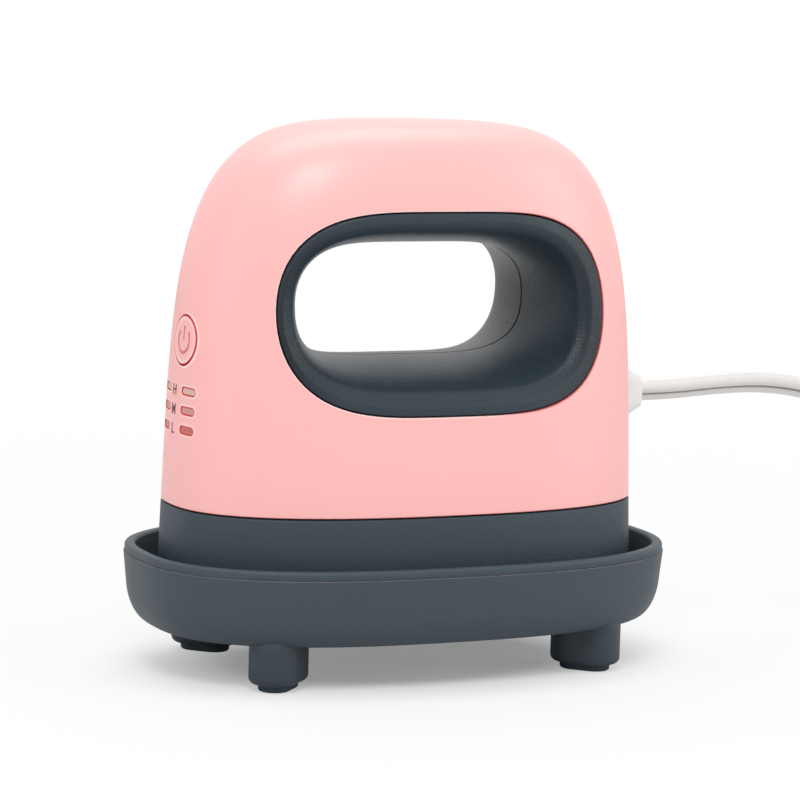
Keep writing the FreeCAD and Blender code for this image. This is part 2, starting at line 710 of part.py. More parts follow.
def shell_body():
    """Outer and inner skins, joined below by the rebate for the skirt's tongue."""
    rebate_inset = SHELL_WALL - TONGUE_THICKNESS - FIT_GAP
    rebate_top = SEAM + TONGUE_RISE + FIT_GAP
    outer = [form_curve(height, 0.0) for height in crown_heights(0.0)]
    inner = [form_curve(height, SHELL_WALL)
             for height in [rebate_top] + crown_heights(SHELL_WALL) if height >= rebate_top]
    steps = [outer[0], form_curve(SEAM, rebate_inset), form_curve(rebate_top, rebate_inset), inner[0]]
    faces = skin(outer, smooth=True) + skin(inner, smooth=True)
    faces += [Part.Face(outer[-1]), Part.Face(inner[-1])]
    for first, second in zip(steps, steps[1:]):
        faces += skin([first, second])
    return sewn_solid(faces)


def upper_shell():
    return shell_body().fuse(shell_bosses() + shell_posts()).cut(shell_openings())


# ---------------------------------------------------------------- grip sleeves
def between(first, second, share):
    return [a + (b - a) * share for a, b in zip(first, second)]


def grip_curve(share, grow):
    """Curve round the finger hole: share 0 at the middle seam, 1 at the mouth's lip.

    The hole opens out along a superellipse quarter as share goes from 0 to 1, and each curve
    stands at the same share of the way out to the casing's curved side.
    """
    flare = 1 - (1 - share ** FLARE_POWER) ** (1 / FLARE_POWER)
    mouth_half = (WINDOW_LENGTH / 2 - LIP_AT_ENDS, WINDOW_HEIGHT / 2 - LIP_ABOVE)
    half_x, half_z = between((GRIP_LENGTH / 2, GRIP_HEIGHT / 2), mouth_half, flare)
    powers = between(GRIP_POWERS, WINDOW_POWERS, flare)
    centre_x, centre_z = between((GRIP_SHIFT, GRIP_ABOVE_WINDOW), (MOUTH_SHIFT, 0.0), flare)
    hole = rounded_pairs(half_x + grow, half_z + grow, powers)
    mouth = rounded_pairs(mouth_half[0], mouth_half[1], WINDOW_POWERS)
    points = []
    for (x, z), (mouth_x, mouth_z) in zip(hole, mouth):
        depth = form_depth(MOUTH_SHIFT + mouth_x, WINDOW_Z + mouth_z, 0.0)
        points.append(V(centre_x + x, -SLEEVE_SEAM / 2 - share * (depth - SLEEVE_SEAM / 2),
                        WINDOW_Z + centre_z + z))
    return closed_curve(points)


def window_ring(grow, inset):
    """Window outline grown by grow, laid on the form drawn in by inset."""
    pairs = rounded_pairs(WINDOW_LENGTH / 2 + grow, WINDOW_HEIGHT / 2 + grow, WINDOW_POWERS)
    return closed_curve([V(x, -form_depth(x, WINDOW_Z + z, inset), WINDOW_Z + z) for x, z in pairs])


def front_sleeve():
    """Front half of the grip sleeve: flared hole, flush lip, and a ledge behind the shell."""
    shares = [math.sin(turn) for turn in quarter_turns(FLARE_STATIONS)]
    ledge_front = SHELL_WALL + FIT_GAP
    ledge_back = ledge_front + LEDGE_THICKNESS
    back_share = 1 - ledge_back / HALF_WIDTH
    hole = [grip_curve(share, 0.0) for share in shares]
    outside = [grip_curve(share * back_share, SLEEVE_WALL) for share in shares]
    ring = [hole[-1], window_ring(-SLEEVE_GAP, 0.0), window_ring(-SLEEVE_GAP, ledge_front),
            window_ring(LEDGE_WIDTH, ledge_front), window_ring(LEDGE_WIDTH, ledge_back), outside[-1]]
    faces = skin(hole, smooth=True) + skin(outside, smooth=True)
    for first, second in zip(ring, ring[1:]):
        faces += skin([first, second])
    faces += skin([outside[0], hole[0]])
    return sewn_solid(faces)


def rear_sleeve():
    return front_sleeve().mirror(V(0, 0, 0), V(0, 1, 0))


# ---------------------------------------------------------------- heating stack
def plate_half():
    return HALF_LENGTH - SHELL_WALL - PLATE_GAP, HALF_WIDTH - SHELL_WALL - PLATE_GAP


def flat_sheet(inset, bottom, thickness):
    half_x, half_y = plate_half()
    curve = level_curve(half_x - inset, half_y - inset, PLAN_POWER, bottom)
    return Part.Face(curve).extrude(V(0, 0, thickness))


def heater_path():
    """U along the plate, with both ends turned up."""
    side = HEATER_SPREAD / 2
    z = PLATE_TOP
    tip_x = HEATER_END_X + HEATER_TURN_UP
    tip_z = z + HEATER_TIP_RISE
    edges = []
    for across in (-side, side):
        lower = V(HEATER_END_X, across, z)
        upper = V(tip_x, across, z + HEATER_TURN_UP)
        bulge = HEATER_TURN_UP * math.sin(math.pi / 4)
        middle = V(HEATER_END_X + bulge, across, z + HEATER_TURN_UP - bulge)
        run = [Part.makeLine(V(tip_x, across, tip_z), upper), Part.Arc(upper, middle, lower).toShape(),
               Part.makeLine(lower, V(HEATER_BEND_X, across, z))]
        edges.append(run)
    bend = Part.Arc(V(HEATER_BEND_X, -side, z), V(HEATER_BEND_X - side, 0, z),
                    V(HEATER_BEND_X, side, z)).toShape()
    return Part.Wire(Part.__sortEdges__(edges[0] + [bend] + edges[1])), V(tip_x, -side, tip_z)


def heating_element():
    path, start = heater_path()
    ring = Part.makeCircle(HEATER_DIAMETER / 2, start, UP)
    return path.makePipe(Part.Face(Part.Wire([ring])))


def heating_plate():
    plate = flat_sheet(0.0, PLATE_BOTTOM, PLATE_THICKNESS)
    plate = round_lowest_edges(plate, PLATE_EDGE_ROUND)
    pillars = [upright(PILLAR_RADIUS, x, y, PLATE_TOP, PILLAR_TOP) for x, y in pillar_places()]
    threads = [upright(PLATE_SCREW_RADIUS, x, y, PILLAR_TOP - PLATE_SCREW_DEPTH, PILLAR_TOP)
               for x, y in pillar_places()]
    return plate.fuse(pillars).cut(Part.makeCompound(threads)).cut(heating_element())


def stack_holes(bottom, thickness, screw_radius, heater_gap):
    """What passes through the flat sheets: screws, heater ends, case screw heads and wires."""
    top = bottom + thickness
    holes = [upright(screw_radius, x, y, bottom, top) for x, y in pillar_places()]
    holes += [upright(HEATER_DIAMETER / 2 + heater_gap, x, y, bottom, top)
              for x, y in heater_tip_places()]
    holes += [upright(CASE_SCREW_RADIUS + HEAD_WIDEN + SHIELD_GAP, x, y, bottom, top)
              for x, y in boss_places()]
    holes.append(upright(WIRE_HOLE_RADIUS, WIRE_HOLE_X, 0, bottom, top))
    return Part.makeCompound(holes)


def heat_shield():
    sheet = flat_sheet(SHIELD_GAP, PILLAR_TOP, SHIELD_THICKNESS)
    holes = stack_holes(PILLAR_TOP, SHIELD_THICKNESS, PLATE_SCREW_RADIUS + FIT_GAP, SHIELD_GAP)
    return sheet.cut(holes)


def insulation_sheet():
    sheet = flat_sheet(2 * SHIELD_GAP, SHIELD_TOP, INSULATION_THICKNESS)
    radius = PLATE_SCREW_RADIUS + SPACER_WALL + FIT_GAP
    return sheet.cut(stack_holes(SHIELD_TOP, INSULATION_THICKNESS, radius, HEATER_HOLE_GAP))


def plate_spacers():
    spacers = []
    for x, y in pillar_places():
        outer = upright(PLATE_SCREW_RADIUS + SPACER_WALL, x, y, SHIELD_TOP, DECK_BOTTOM)
        spacers.append(outer.cut(upright(PLATE_SCREW_RADIUS + FIT_GAP, x, y, SHIELD_TOP, DECK_BOTTOM)))
    return Part.makeCompound(spacers)


def plate_screws():
    length = DECK_TOP - PILLAR_TOP + PLATE_SCREW_DEPTH
    return Part.makeCompound([screw(V(x, y, DECK_TOP), -UP, PLATE_SCREW_RADIUS, length, HEAD_HEIGHT)
                              for x, y in pillar_places()])


def case_screws():
    length = DECK_THICKNESS + BOSS_ABOVE_SEAM / 2 + SEAM - DECK_TOP
    return Part.makeCompound([screw(V(x, y, DECK_BOTTOM), UP, CASE_SCREW_RADIUS, length, HEAD_HEIGHT)
                              for x, y in boss_places()])


def heater_pins():
    pins = []
    for x, y in heater_tip_places():
        low = PLATE_TOP + HEATER_TIP_RISE
        pins.append(upright(HEATER_PIN_RADIUS, x, y, low, low + HEATER_PIN_LENGTH))
    return Part.makeCompound(pins)


def sensor_bar(radius, length, y):
    z = PLATE_TOP + radius
    return cylinder(radius, V(-length / 2, y, z), V(length / 2, y, z))


def thermistor():
    return sensor_bar(THERMISTOR_RADIUS, THERMISTOR_LENGTH, -SENSOR_OFFSET)


def thermal_fuse():
    return sensor_bar(THERMAL_FUSE_RADIUS, THERMAL_FUSE_LENGTH, SENSOR_OFFSET)


def sensor_clips():
    """Strip over each sensor that holds it down on the plate."""
    clips = []
    for radius, y in ((THERMISTOR_RADIUS, -SENSOR_OFFSET), (THERMAL_FUSE_RADIUS, SENSOR_OFFSET)):
        half = radius + SENSOR_CLIP_THICKNESS
        width = SENSOR_CLIP_WIDTH
        arch = block(V(-width / 2, y - half, PLATE_TOP), (width, 2 * half, radius + half))
        tab = block(V(-width / 2, y + half, PLATE_TOP), (width, radius, SENSOR_CLIP_THICKNESS))
        room = block(V(-width, y - radius, PLATE_TOP), (2 * width, 2 * radius, 2 * radius))
        clips.append(arch.fuse(tab).cut(room))
    return Part.makeCompound(clips)


# ---------------------------------------------------------------- button end
def power_symbol():
    """Ring open at the top with an upright bar in the opening, as a cutter along X."""
    reach = V(SHELL_LENGTH, 0, 0)
    centre = V(-SHELL_LENGTH, BUTTON_OFFSET, BUTTON_Z)
    outer = cylinder(SYMBOL_RADIUS + SYMBOL_STROKE / 2, centre, centre + reach)
    inner = cylinder(SYMBOL_RADIUS - SYMBOL_STROKE / 2, centre, centre + reach)
    half_gap = SYMBOL_RADIUS * math.sin(math.radians(SYMBOL_GAP_ANGLE))
    gap = block(centre - V(0, half_gap, 0), (SHELL_LENGTH, 2 * half_gap, 2 * SYMBOL_RADIUS))
    bar = block(centre - V(0, SYMBOL_STROKE / 2, 0),
                (SHELL_LENGTH, SYMBOL_STROKE, SYMBOL_RADIUS + SYMBOL_STROKE / 2))
    return outer.cut(inner).cut(gap).fuse(bar)


def power_button():
    """Cap flush with the curved end, a flange behind the wall, and a post to the switch."""
    y, z = BUTTON_OFFSET, BUTTON_Z
    out = V(-SHELL_LENGTH, y, z)
    behind = SHELL_WALL + BUTTON_STOP_GAP
    back = V(-form_end(y, z, behind) + BUTTON_FLANGE_THICKNESS, y, z)
    cap = cylinder(BUTTON_RADIUS, out, back).common(button_end(-BUTTON_PROUD))
    flange = cylinder(BUTTON_RADIUS + BUTTON_FLANGE_WIDTH, out, back).common(button_end(behind))
    post = cylinder(BUTTON_POST_RADIUS, back, V(plunger_tip_x(), y, z))
    cap = cap.fuse([flange, post])
    return cap.cut(power_symbol().cut(button_end(SYMBOL_DEPTH - BUTTON_PROUD)))


def plunger_tip_x():
    return BOARD_FACE_X - SWITCH_BODY_HEIGHT - PLUNGER_PROUD


def tact_switch_plunger():
    tip = V(plunger_tip_x(), BUTTON_OFFSET, BUTTON_Z)
    return cylinder(PLUNGER_RADIUS, tip, tip + V(PLUNGER_PROUD + PLUNGER_SUNK, 0, 0))


def tact_switch_body():
    half = SWITCH_SIZE / 2
    low = V(BOARD_FACE_X - SWITCH_BODY_HEIGHT, BUTTON_OFFSET - half, BUTTON_Z - half)
    body = block(low, (SWITCH_BODY_HEIGHT, SWITCH_SIZE, SWITCH_SIZE))
    mouth = V(BOARD_FACE_X - SWITCH_BODY_HEIGHT, BUTTON_OFFSET, BUTTON_Z)
    room = cylinder(PLUNGER_RADIUS + PLUNGER_CLEARANCE, mouth,
                    mouth + V(PLUNGER_SUNK + BUTTON_TRAVEL + FIT_GAP, 0, 0))
    return body.cut(room)


def button_end(inset):
    """The form's end wall region alone, which trims what lies in or behind that wall."""
    half_y = SLOT_SPREAD / 2 + SLOT_LENGTH + BUTTON_RADIUS
    low = V(-SHELL_LENGTH, -half_y, SEAM)
    return press_form(inset).common(block(low, (SHELL_LENGTH + BOARD_FACE_X, 2 * half_y, SHELL_RISE)))


def level_lens(height, front, back):
    """Light guide of one row: two windows, the bar that joins them, and two legs to the lamps.

    front and back are the end wall's form at the windows' faces and behind the wall.
    """
    half_y = SLOT_SPREAD / 2 + SLOT_LENGTH / 2 + LENS_BAR_MARGIN
    half_z = SLOT_HEIGHT / 2 + LENS_BAR_MARGIN
    back_x = -form_end(half_y, height, SHELL_WALL + FIT_GAP) + LENS_BAR_THICKNESS
    bar = block(V(-SHELL_LENGTH, -half_y, height - half_z), (SHELL_LENGTH + back_x, 2 * half_y, 2 * half_z))
    legs = []
    for side in (-1, 1):
        low = V(back_x - LENS_BAR_THICKNESS / 2, side * SLOT_SPREAD / 2 - LED_WIDTH / 2,
                height - LED_HEIGHT / 2)
        length = BOARD_FACE_X - LED_THICKNESS - FIT_GAP - low.x
        legs.append(block(low, (length, LED_WIDTH, LED_HEIGHT)))
    windows = Part.makeCompound(row_windows(height, FIT_GAP, back_x)).common(front)
    return bar.common(back).fuse(windows.Solids + legs).removeSplitter()


def level_lenses():
    front = button_end(LENS_SUNK)
    back = button_end(SHELL_WALL + FIT_GAP)
    return {"level_lens_" + level: level_lens(height, front, back)
            for level, height in row_heights().items()}


def indicator_leds():
    lamps = []
    for height in row_heights().values():
        for side in (-1, 1):
            low = V(BOARD_FACE_X - LED_THICKNESS, side * SLOT_SPREAD / 2 - LED_WIDTH / 2,
                    height - LED_HEIGHT / 2)
            lamps.append(block(low, (LED_THICKNESS, LED_WIDTH, LED_HEIGHT)))
    return Part.makeCompound(lamps)


def control_board():
    low = V(BOARD_FACE_X, -CONTROL_BOARD_WIDTH / 2, BOARD_LOW_Z)
    board = block(low, (BOARD_THICKNESS, CONTROL_BOARD_WIDTH, CONTROL_BOARD_HEIGHT))
    holes = [cylinder(SMALL_SCREW_RADIUS + FIT_GAP, V(BOARD_FACE_X, y, z), V(BOARD_BACK_X, y, z))
             for y, z in control_post_places()]
    return board.cut(Part.makeCompound(holes))


def small_screw(base, pointing, through):
    """Board or clamp screw: through the loose piece and into its post."""
    length = through + SMALL_SCREW_LENGTH - SCREW_TIP_GAP
    return screw(base, pointing, SMALL_SCREW_RADIUS, length, SMALL_HEAD_HEIGHT)


def control_board_screws():
    return Part.makeCompound([small_screw(V(BOARD_BACK_X, y, z), V(-1, 0, 0), BOARD_THICKNESS)
                              for y, z in control_post_places()])


def control_chip():
    size = CONNECTOR_SIZE
    low = V(BOARD_BACK_X, -size[1] / 2, BUTTON_Z - size[1])
    return block(low, (BOARD_THICKNESS, size[1], size[1]))


def connectors():
    """White plug sockets: one on the control board, one on the power board."""
    length, width, height = CONNECTOR_SIZE
    upper = block(V(BOARD_BACK_X, -width / 2, BOARD_LOW_Z + CONTROL_POST_MARGIN), (height, width, length))
    lower = block(V(CONNECTOR_INSET - POWER_BOARD_LENGTH / 2, -width / 2, POWER_BOARD_TOP),
                  (length, width, height))
    return Part.makeCompound([upper, lower])


def control_harness():
    """Sleeved wires between the two sockets."""
    length, width, height = CONNECTOR_SIZE
    start = V(BOARD_BACK_X + height, 0, BOARD_LOW_Z + CONTROL_POST_MARGIN + length / 2)
    end = V(CONNECTOR_INSET + length / 2 - POWER_BOARD_LENGTH / 2, 0, POWER_BOARD_TOP + height)
    corner = V(end.x, 0, start.z)
    return tube([start, corner, end], HARNESS_RADIUS)[0]


# ---------------------------------------------------------------- power board
def power_board():
    low = V(-POWER_BOARD_LENGTH / 2, -POWER_BOARD_WIDTH / 2, POWER_BOARD_BOTTOM)
    board = block(low, (POWER_BOARD_LENGTH, POWER_BOARD_WIDTH, BOARD_THICKNESS))
    holes = [upright(SMALL_SCREW_RADIUS + FIT_GAP, x, y, POWER_BOARD_BOTTOM, POWER_BOARD_TOP)
             for x, y in power_post_places()]
    return board.cut(Part.makeCompound(holes))


def power_board_screws():
    return Part.makeCompound([small_screw(V(x, y, POWER_BOARD_TOP), -UP, BOARD_THICKNESS)
                              for x, y in power_post_places()])


def terminal_low():
    return V(POWER_BOARD_LENGTH / 2 - TERMINAL_LENGTH, -TERMINAL_WIDTH / 2, POWER_BOARD_TOP)


def mains_terminal():
    body = block(terminal_low(), (TERMINAL_LENGTH, TERMINAL_WIDTH, TERMINAL_HEIGHT))
    wells = []
    for side in (-1, 1):
        x = POWER_BOARD_LENGTH / 2 - TERMINAL_LENGTH / 2
        top = POWER_BOARD_TOP + TERMINAL_HEIGHT
        wells.append(upright(TERMINAL_WELL_RADIUS, x, side * TERMINAL_WIDTH / 4,
                             top - TERMINAL_WELL_DEPTH, top))
    return body.cut(Part.makeCompound(wells))


def board_fuse():
    y = POWER_BOARD_WIDTH / 2 - POWER_POST_MARGIN
    z = POWER_BOARD_TOP + FUSE_RADIUS
    half = FUSE_LENGTH / 2
    glass = cylinder(FUSE_GLASS_RADIUS, V(FUSE_X - half, y, z), V(FUSE_X + half, y, z))
    caps = [cylinder(FUSE_RADIUS, V(FUSE_X + side * half, y, z),
                     V(FUSE_X + side * (half - FUSE_CAP_LENGTH), y, z)) for side in (-1, 1)]
    return glass.fuse(caps)


def film_capacitor():
    length, width, height = FILM_CAPACITOR_SIZE
    low = V(FILM_CAPACITOR_X - length / 2, -width / 2, POWER_BOARD_TOP)
    return block(low, (length, width, height))


def electrolytic_capacitors():
    """Two upright cans beside the fuse."""
    y = ELECTROLYTIC_RADIUS + ELECTROLYTIC_INSET - POWER_BOARD_WIDTH / 2
    return Part.makeCompound([upright(ELECTROLYTIC_RADIUS, FUSE_X + side * ELECTROLYTIC_PITCH / 2, y,
                                      POWER_BOARD_TOP, POWER_BOARD_TOP + ELECTROLYTIC_HEIGHT)
                              for side in (-1, 1)])


def triac():
    return block(V(0.0, -TRIAC_SIZE[1] / 2, POWER_BOARD_TOP), TRIAC_SIZE)


def heat_sink():
    return block(V(-HEAT_SINK_SIZE[0], -HEAT_SINK_SIZE[1] / 2, POWER_BOARD_TOP), HEAT_SINK_SIZE)


def heater_wires():
    """From each heater pin up past the board's edge and in to its solder point."""
    wires = []
    for x, y in heater_tip_places():
        side = math.copysign(1, y)
        start = V(x, y, PLATE_TOP + HEATER_TIP_RISE + HEATER_PIN_LENGTH)
        over = POWER_BOARD_TOP + HEATER_WIRE_RISE
        pad = V(x - HEATER_WIRE_RUN, side * (POWER_BOARD_WIDTH / 2 - BOARD_PAD_INSET), POWER_BOARD_TOP)
        points = [start, V(x, y, over), V(pad.x, pad.y, over), pad]
        wires.append(tube(points, WIRE_RADIUS)[0])
    return Part.makeCompound(wires)


def sensor_wires():
    """A pair from each sensor, up through the deck's middle hole to under the board."""
    wires = []
    for radius, length, y in ((THERMISTOR_RADIUS, THERMISTOR_LENGTH, -SENSOR_OFFSET),
                              (THERMAL_FUSE_RADIUS, THERMAL_FUSE_LENGTH, SENSOR_OFFSET)):
        side = math.copysign(1, y)
        z = PLATE_TOP + radius
        start = V(length / 2, y, z)
        turn_in = V((length / 2 + WIRE_HOLE_X) / 2, y, z)
        foot = V(WIRE_HOLE_X, side * 2 * WIRE_RADIUS, z)
        top = V(foot.x, foot.y, POWER_BOARD_BOTTOM)
        wires.append(tube([start, turn_in, foot, top], WIRE_RADIUS)[0])
    return Part.makeCompound(wires)


# ---------------------------------------------------------------- cord end
def relief_curve(x, drawn_in):
    """Outline of the strain relief across the cord. It narrows evenly from the shell to the tip."""
    share = (RELIEF_TIP_X - x) / (RELIEF_TIP_X - form_end(0.0, CORD_Z, 0.0))
    half_y, half_z = between(RELIEF_TIP_HALF, RELIEF_BASE_HALF, share)
    pairs = rounded_pairs(half_y - drawn_in, half_z - drawn_in, (RELIEF_POWER, RELIEF_POWER))
    return closed_curve([V(x, y, CORD_Z + z) for y, z in pairs])


def cord_strain_relief():
    """Short boot bonded to the cord: a blunt taper outside, a neck in the wall, a flange inside."""
    shell_x = form_end(0.0, CORD_Z, 0.0)
    curves = [relief_curve(shell_x - RELIEF_FOOT, 0.0),
              relief_curve(RELIEF_TIP_X - RELIEF_TIP_BEVEL, 0.0), relief_curve(RELIEF_TIP_X, RELIEF_TIP_BEVEL)]
    boot = sewn_solid(skin(curves) + [Part.Face(curves[0]), Part.Face(curves[-1])]).cut(press_form(0.0))
    inner_face = relief_inner_x()
    neck = cylinder(RELIEF_NECK_RADIUS, V(inner_face, 0, CORD_Z), V(shell_x + WELD, 0, CORD_Z))
    flange = cylinder(RELIEF_FLANGE_RADIUS, V(inner_face, 0, CORD_Z), V(shell_x, 0, CORD_Z))
    return boot.fuse([neck, flange.common(press_form(SHELL_WALL))])


def relief_inner_x():
    return form_end(0.0, CORD_Z, SHELL_WALL) - RELIEF_FLANGE_THICKNESS


def inner_cord():
    """The sheathed cord inside: in from the relief, round a bend and down to below the clamp."""
    bend = INNER_CORD_BEND
    top = V(relief_inner_x(), 0, CORD_Z)
    enter = V(CORD_INNER_X + bend, 0, CORD_Z)
    leave = V(CORD_INNER_X, 0, CORD_Z - bend)
    bulge = bend * (1 - math.sin(math.pi / 4))
    middle = V(CORD_INNER_X + bulge, 0, CORD_Z - bulge)
    low = V(CORD_INNER_X, 0, CLAMP_Z - CLAMP_HEIGHT)
    edges = [Part.Arc(enter, middle, leave).toShape(), Part.makeLine(leave, low)]
    if top.x - enter.x > 1e-3:
        edges.insert(0, Part.makeLine(top, enter))
    ring = Part.makeCircle(INNER_CORD_RADIUS, edges[0].Vertexes[0].Point, V(1, 0, 0))
    return Part.Wire(edges).makePipe(Part.Face(Part.Wire([ring])))


def cord_clamp():
    low = V(CLAMP_FACE_X - CLAMP_THICKNESS, -CLAMP_LENGTH / 2, CLAMP_Z - CLAMP_HEIGHT / 2)
    bar = block(low, (CLAMP_THICKNESS, CLAMP_LENGTH, CLAMP_HEIGHT))
    holes = [cylinder(SMALL_SCREW_RADIUS + FIT_GAP, V(CLAMP_FACE_X - CLAMP_THICKNESS, y, CLAMP_Z),
                      V(CLAMP_FACE_X, y, CLAMP_Z)) for y in clamp_post_places()]
    return bar.cut(Part.makeCompound(holes))


def cord_clamp_screws():
    face = CLAMP_FACE_X - CLAMP_THICKNESS
    return Part.makeCompound([small_screw(V(face, y, CLAMP_Z), V(1, 0, 0), CLAMP_THICKNESS)
                              for y in clamp_post_places()])


def mains_cores():
    """The cord's two cores, from its sheath's end to the terminal block."""
    cores = []
    sheath_end = CLAMP_Z - CLAMP_HEIGHT
    for side in (-1, 1):
        start = V(CORD_INNER_X, side * INNER_CORD_RADIUS / 2, sheath_end)
        entry = V(POWER_BOARD_LENGTH / 2, side * TERMINAL_WIDTH / 4,
                  POWER_BOARD_TOP + TERMINAL_ENTRY_HEIGHT)
        below = V(start.x, start.y, entry.z)
        before_entry = V((entry.x + start.x) / 2, entry.y, entry.z)
        cores.append(tube([start, below, before_entry, entry], WIRE_RADIUS)[0])
    return Part.makeCompound(cores)


# ---------------------------------------------------------------- free cord
def lead_points():
    return [V(RELIEF_TIP_X + x, y, z) for x, y, z in LEAD_ROUTE]


def coil_centre():
    return V(RELIEF_TIP_X + COIL_FROM_TIP, 0, 0)


def tail_points():
    return [coil_centre() + V(x, y, z) for x, y, z in TAIL_ROUTE]


def loose_cord(name, points):
    """Tube of the cord's width along a route. Prints its bends and checks its volume."""
    solid, path, radii = tube(points, CORD_WIDTH / 2)
    expected = math.pi * (CORD_WIDTH / 2) ** 2 * path.Length
    print(name, "length", round(path.Length, 1), "radii", [round(radius, 1) for radius in radii],
          "volume ratio", round(solid.Volume / expected, 4))
    return solid


def power_cord_coil():
    """Closed ring of the coil's outer shape."""
    low = Part.makeCylinder(COIL_OUTER_RADIUS, COIL_HEIGHT, coil_centre())
    ring = low.cut(Part.makeCylinder(COIL_INNER_RADIUS, COIL_HEIGHT, coil_centre()))
    edges = [edge for edge in ring.Edges if edge.Closed and edge.Curve.TypeId == "Part::GeomCircle"]
    middle = math.pi * (COIL_INNER_RADIUS + COIL_OUTER_RADIUS)
    print("power_cord_coil", COIL_TURNS, "turns, length", round(COIL_TURNS * middle, 1))
    return ring.makeFillet(COIL_ROUND, edges)


def plug_frame(shape):
    """From a plug drawn along +X from the origin to its place at the tail's end."""
    before, end = tail_points()[-2:]
    return placed(shape, end, math.degrees(math.atan2(end.y - before.y, end.x - before.x)))


def plug_body():
    """Flat moulded plug: a tapered neck round the cord, and a grip with rounded edges."""
    neck = Part.makeCone(PLUG_NECK_TIP_RADIUS, PLUG_NECK_RADIUS, PLUG_NECK_LENGTH + WELD,
                         V(0, 0, 0), V(1, 0, 0))
    grip = block(V(PLUG_NECK_LENGTH, -PLUG_WIDTH / 2, -PLUG_THICKNESS / 2),
                 (PLUG_LENGTH, PLUG_WIDTH, PLUG_THICKNESS))
    grip = grip.makeFillet(PLUG_CORNER, grip.Edges)
    return plug_frame(neck.fuse(grip).cut(plug_blade_blocks()))


def plug_blade_blocks():
    x = PLUG_NECK_LENGTH + PLUG_LENGTH - BLADE_SUNK
    return Part.makeCompound([block(V(x, side * BLADE_SPREAD / 2 - BLADE_THICKNESS / 2, -BLADE_WIDTH / 2),
                                    (BLADE_SUNK + BLADE_LENGTH, BLADE_THICKNESS, BLADE_WIDTH))
                              for side in (-1, 1)])


def plug_blades():
    return plug_frame(plug_blade_blocks())


# ---------------------------------------------------------------- writing the sub-parts
def sub_parts():
    """Every node's name and shape."""
    parts = {
        "stand_tray": stand_tray(),
        "stand_foot_pads": stand_foot_pads(),
        "stand_support_pads": stand_support_pads(),
        "upper_shell": upper_shell(),
        "base_skirt": base_skirt(),
        "handle_sleeve_front": front_sleeve(),
        "handle_sleeve_rear": rear_sleeve(),
        "heating_plate": heating_plate(),
        "heating_element": heating_element(),
        "heater_pins": heater_pins(),
        "heat_shield": heat_shield(),
        "insulation_sheet": insulation_sheet(),
        "plate_spacers": plate_spacers(),
        "plate_screws": plate_screws(),
        "case_screws": case_screws(),
        "thermistor": thermistor(),
        "thermal_fuse": thermal_fuse(),
        "sensor_clips": sensor_clips(),
        "power_button": power_button(),
        "tact_switch_plunger": tact_switch_plunger(),
        "tact_switch_body": tact_switch_body(),
        "indicator_leds": indicator_leds(),
        "control_board": control_board(),
        "control_board_screws": control_board_screws(),
        "control_chip": control_chip(),
        "board_connectors": connectors(),
        "control_harness": control_harness(),
        "power_board": power_board(),
        "power_board_screws": power_board_screws(),
        "mains_terminal": mains_terminal(),
        "board_fuse": board_fuse(),
        "film_capacitor": film_capacitor(),
        "electrolytic_capacitors": electrolytic_capacitors(),
        "heater_triac": triac(),
        "triac_heat_sink": heat_sink(),
        "heater_wires": heater_wires(),
        "sensor_wires": sensor_wires(),
        "cord_strain_relief": cord_strain_relief(),
        "inner_cord": inner_cord(),
        "cord_clamp": cord_clamp(),
        "cord_clamp_screws": cord_clamp_screws(),
        "mains_cores": mains_cores(),
        "power_cord_lead": loose_cord("power_cord_lead", lead_points()),
        "power_cord_coil": power_cord_coil(),
        "power_cord_tail": loose_cord("power_cord_tail", tail_points()),
        "plug_body": plug_body(),
        "plug_blades": plug_blades(),
    }
    parts.update(level_lenses())
    return parts


def main():
    os.makedirs("parts", exist_ok=True)
    for name, shape in sub_parts().items():
        print(name, "solids", len(shape.Solids), "valid", shape.isValid(), "volume", round(shape.Volume, 1))
        shape.exportStep("parts/" + name + ".step")


main()
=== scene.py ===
"""Visual model of a mini handheld heat press that stands in its rest tray.

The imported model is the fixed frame. The large moulded surfaces are rebuilt here as fine grids from the
same formulas as the solids, with rounded edges, and every solid that stays gets a procedural finish.
Lengths are in metres; sizes are written in millimetres through mm(). +X is the end where the power cord
leaves, -X the end with the power button, and -Y the front.
"""

import json
import logging
import math
from dataclasses import dataclass
from enum import Enum
from functools import partial
from typing import Callable, Iterable, Optional, Sequence, Union

import bmesh
import bpy
import numpy as np
from mathutils import Matrix, Vector


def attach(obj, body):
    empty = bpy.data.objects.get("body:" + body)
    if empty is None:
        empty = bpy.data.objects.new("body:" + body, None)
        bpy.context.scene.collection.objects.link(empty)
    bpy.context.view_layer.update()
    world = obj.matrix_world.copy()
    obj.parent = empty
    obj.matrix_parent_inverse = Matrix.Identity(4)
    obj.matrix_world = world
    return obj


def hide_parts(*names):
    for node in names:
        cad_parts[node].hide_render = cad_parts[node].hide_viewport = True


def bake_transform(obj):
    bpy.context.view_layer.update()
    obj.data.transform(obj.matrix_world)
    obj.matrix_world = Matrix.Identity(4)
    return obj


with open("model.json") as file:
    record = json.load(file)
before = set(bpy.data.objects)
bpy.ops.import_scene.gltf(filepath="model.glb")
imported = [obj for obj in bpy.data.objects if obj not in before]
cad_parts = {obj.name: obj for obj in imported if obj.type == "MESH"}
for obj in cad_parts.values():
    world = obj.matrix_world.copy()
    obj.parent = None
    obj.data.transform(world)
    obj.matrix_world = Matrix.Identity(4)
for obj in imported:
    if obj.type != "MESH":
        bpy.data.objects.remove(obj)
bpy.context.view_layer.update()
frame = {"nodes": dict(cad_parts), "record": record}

LOG = logging.getLogger("heat_press")

WELD_DISTANCE = 1e-7        # metres; closer points become one
SHARP_DEGREES = 35.0        # edges that turn more than this stay sharp

Array = np.ndarray
Colour = tuple[float, float, float]
Point = tuple[float, float, float]
Pair = tuple[float, float]
Piece = bpy.types.Object
Material = bpy.types.Material
Socket = bpy.types.NodeSocket


def mm(value: float) -> float:
    """Millimetres as metres."""
    return value * 1e-3


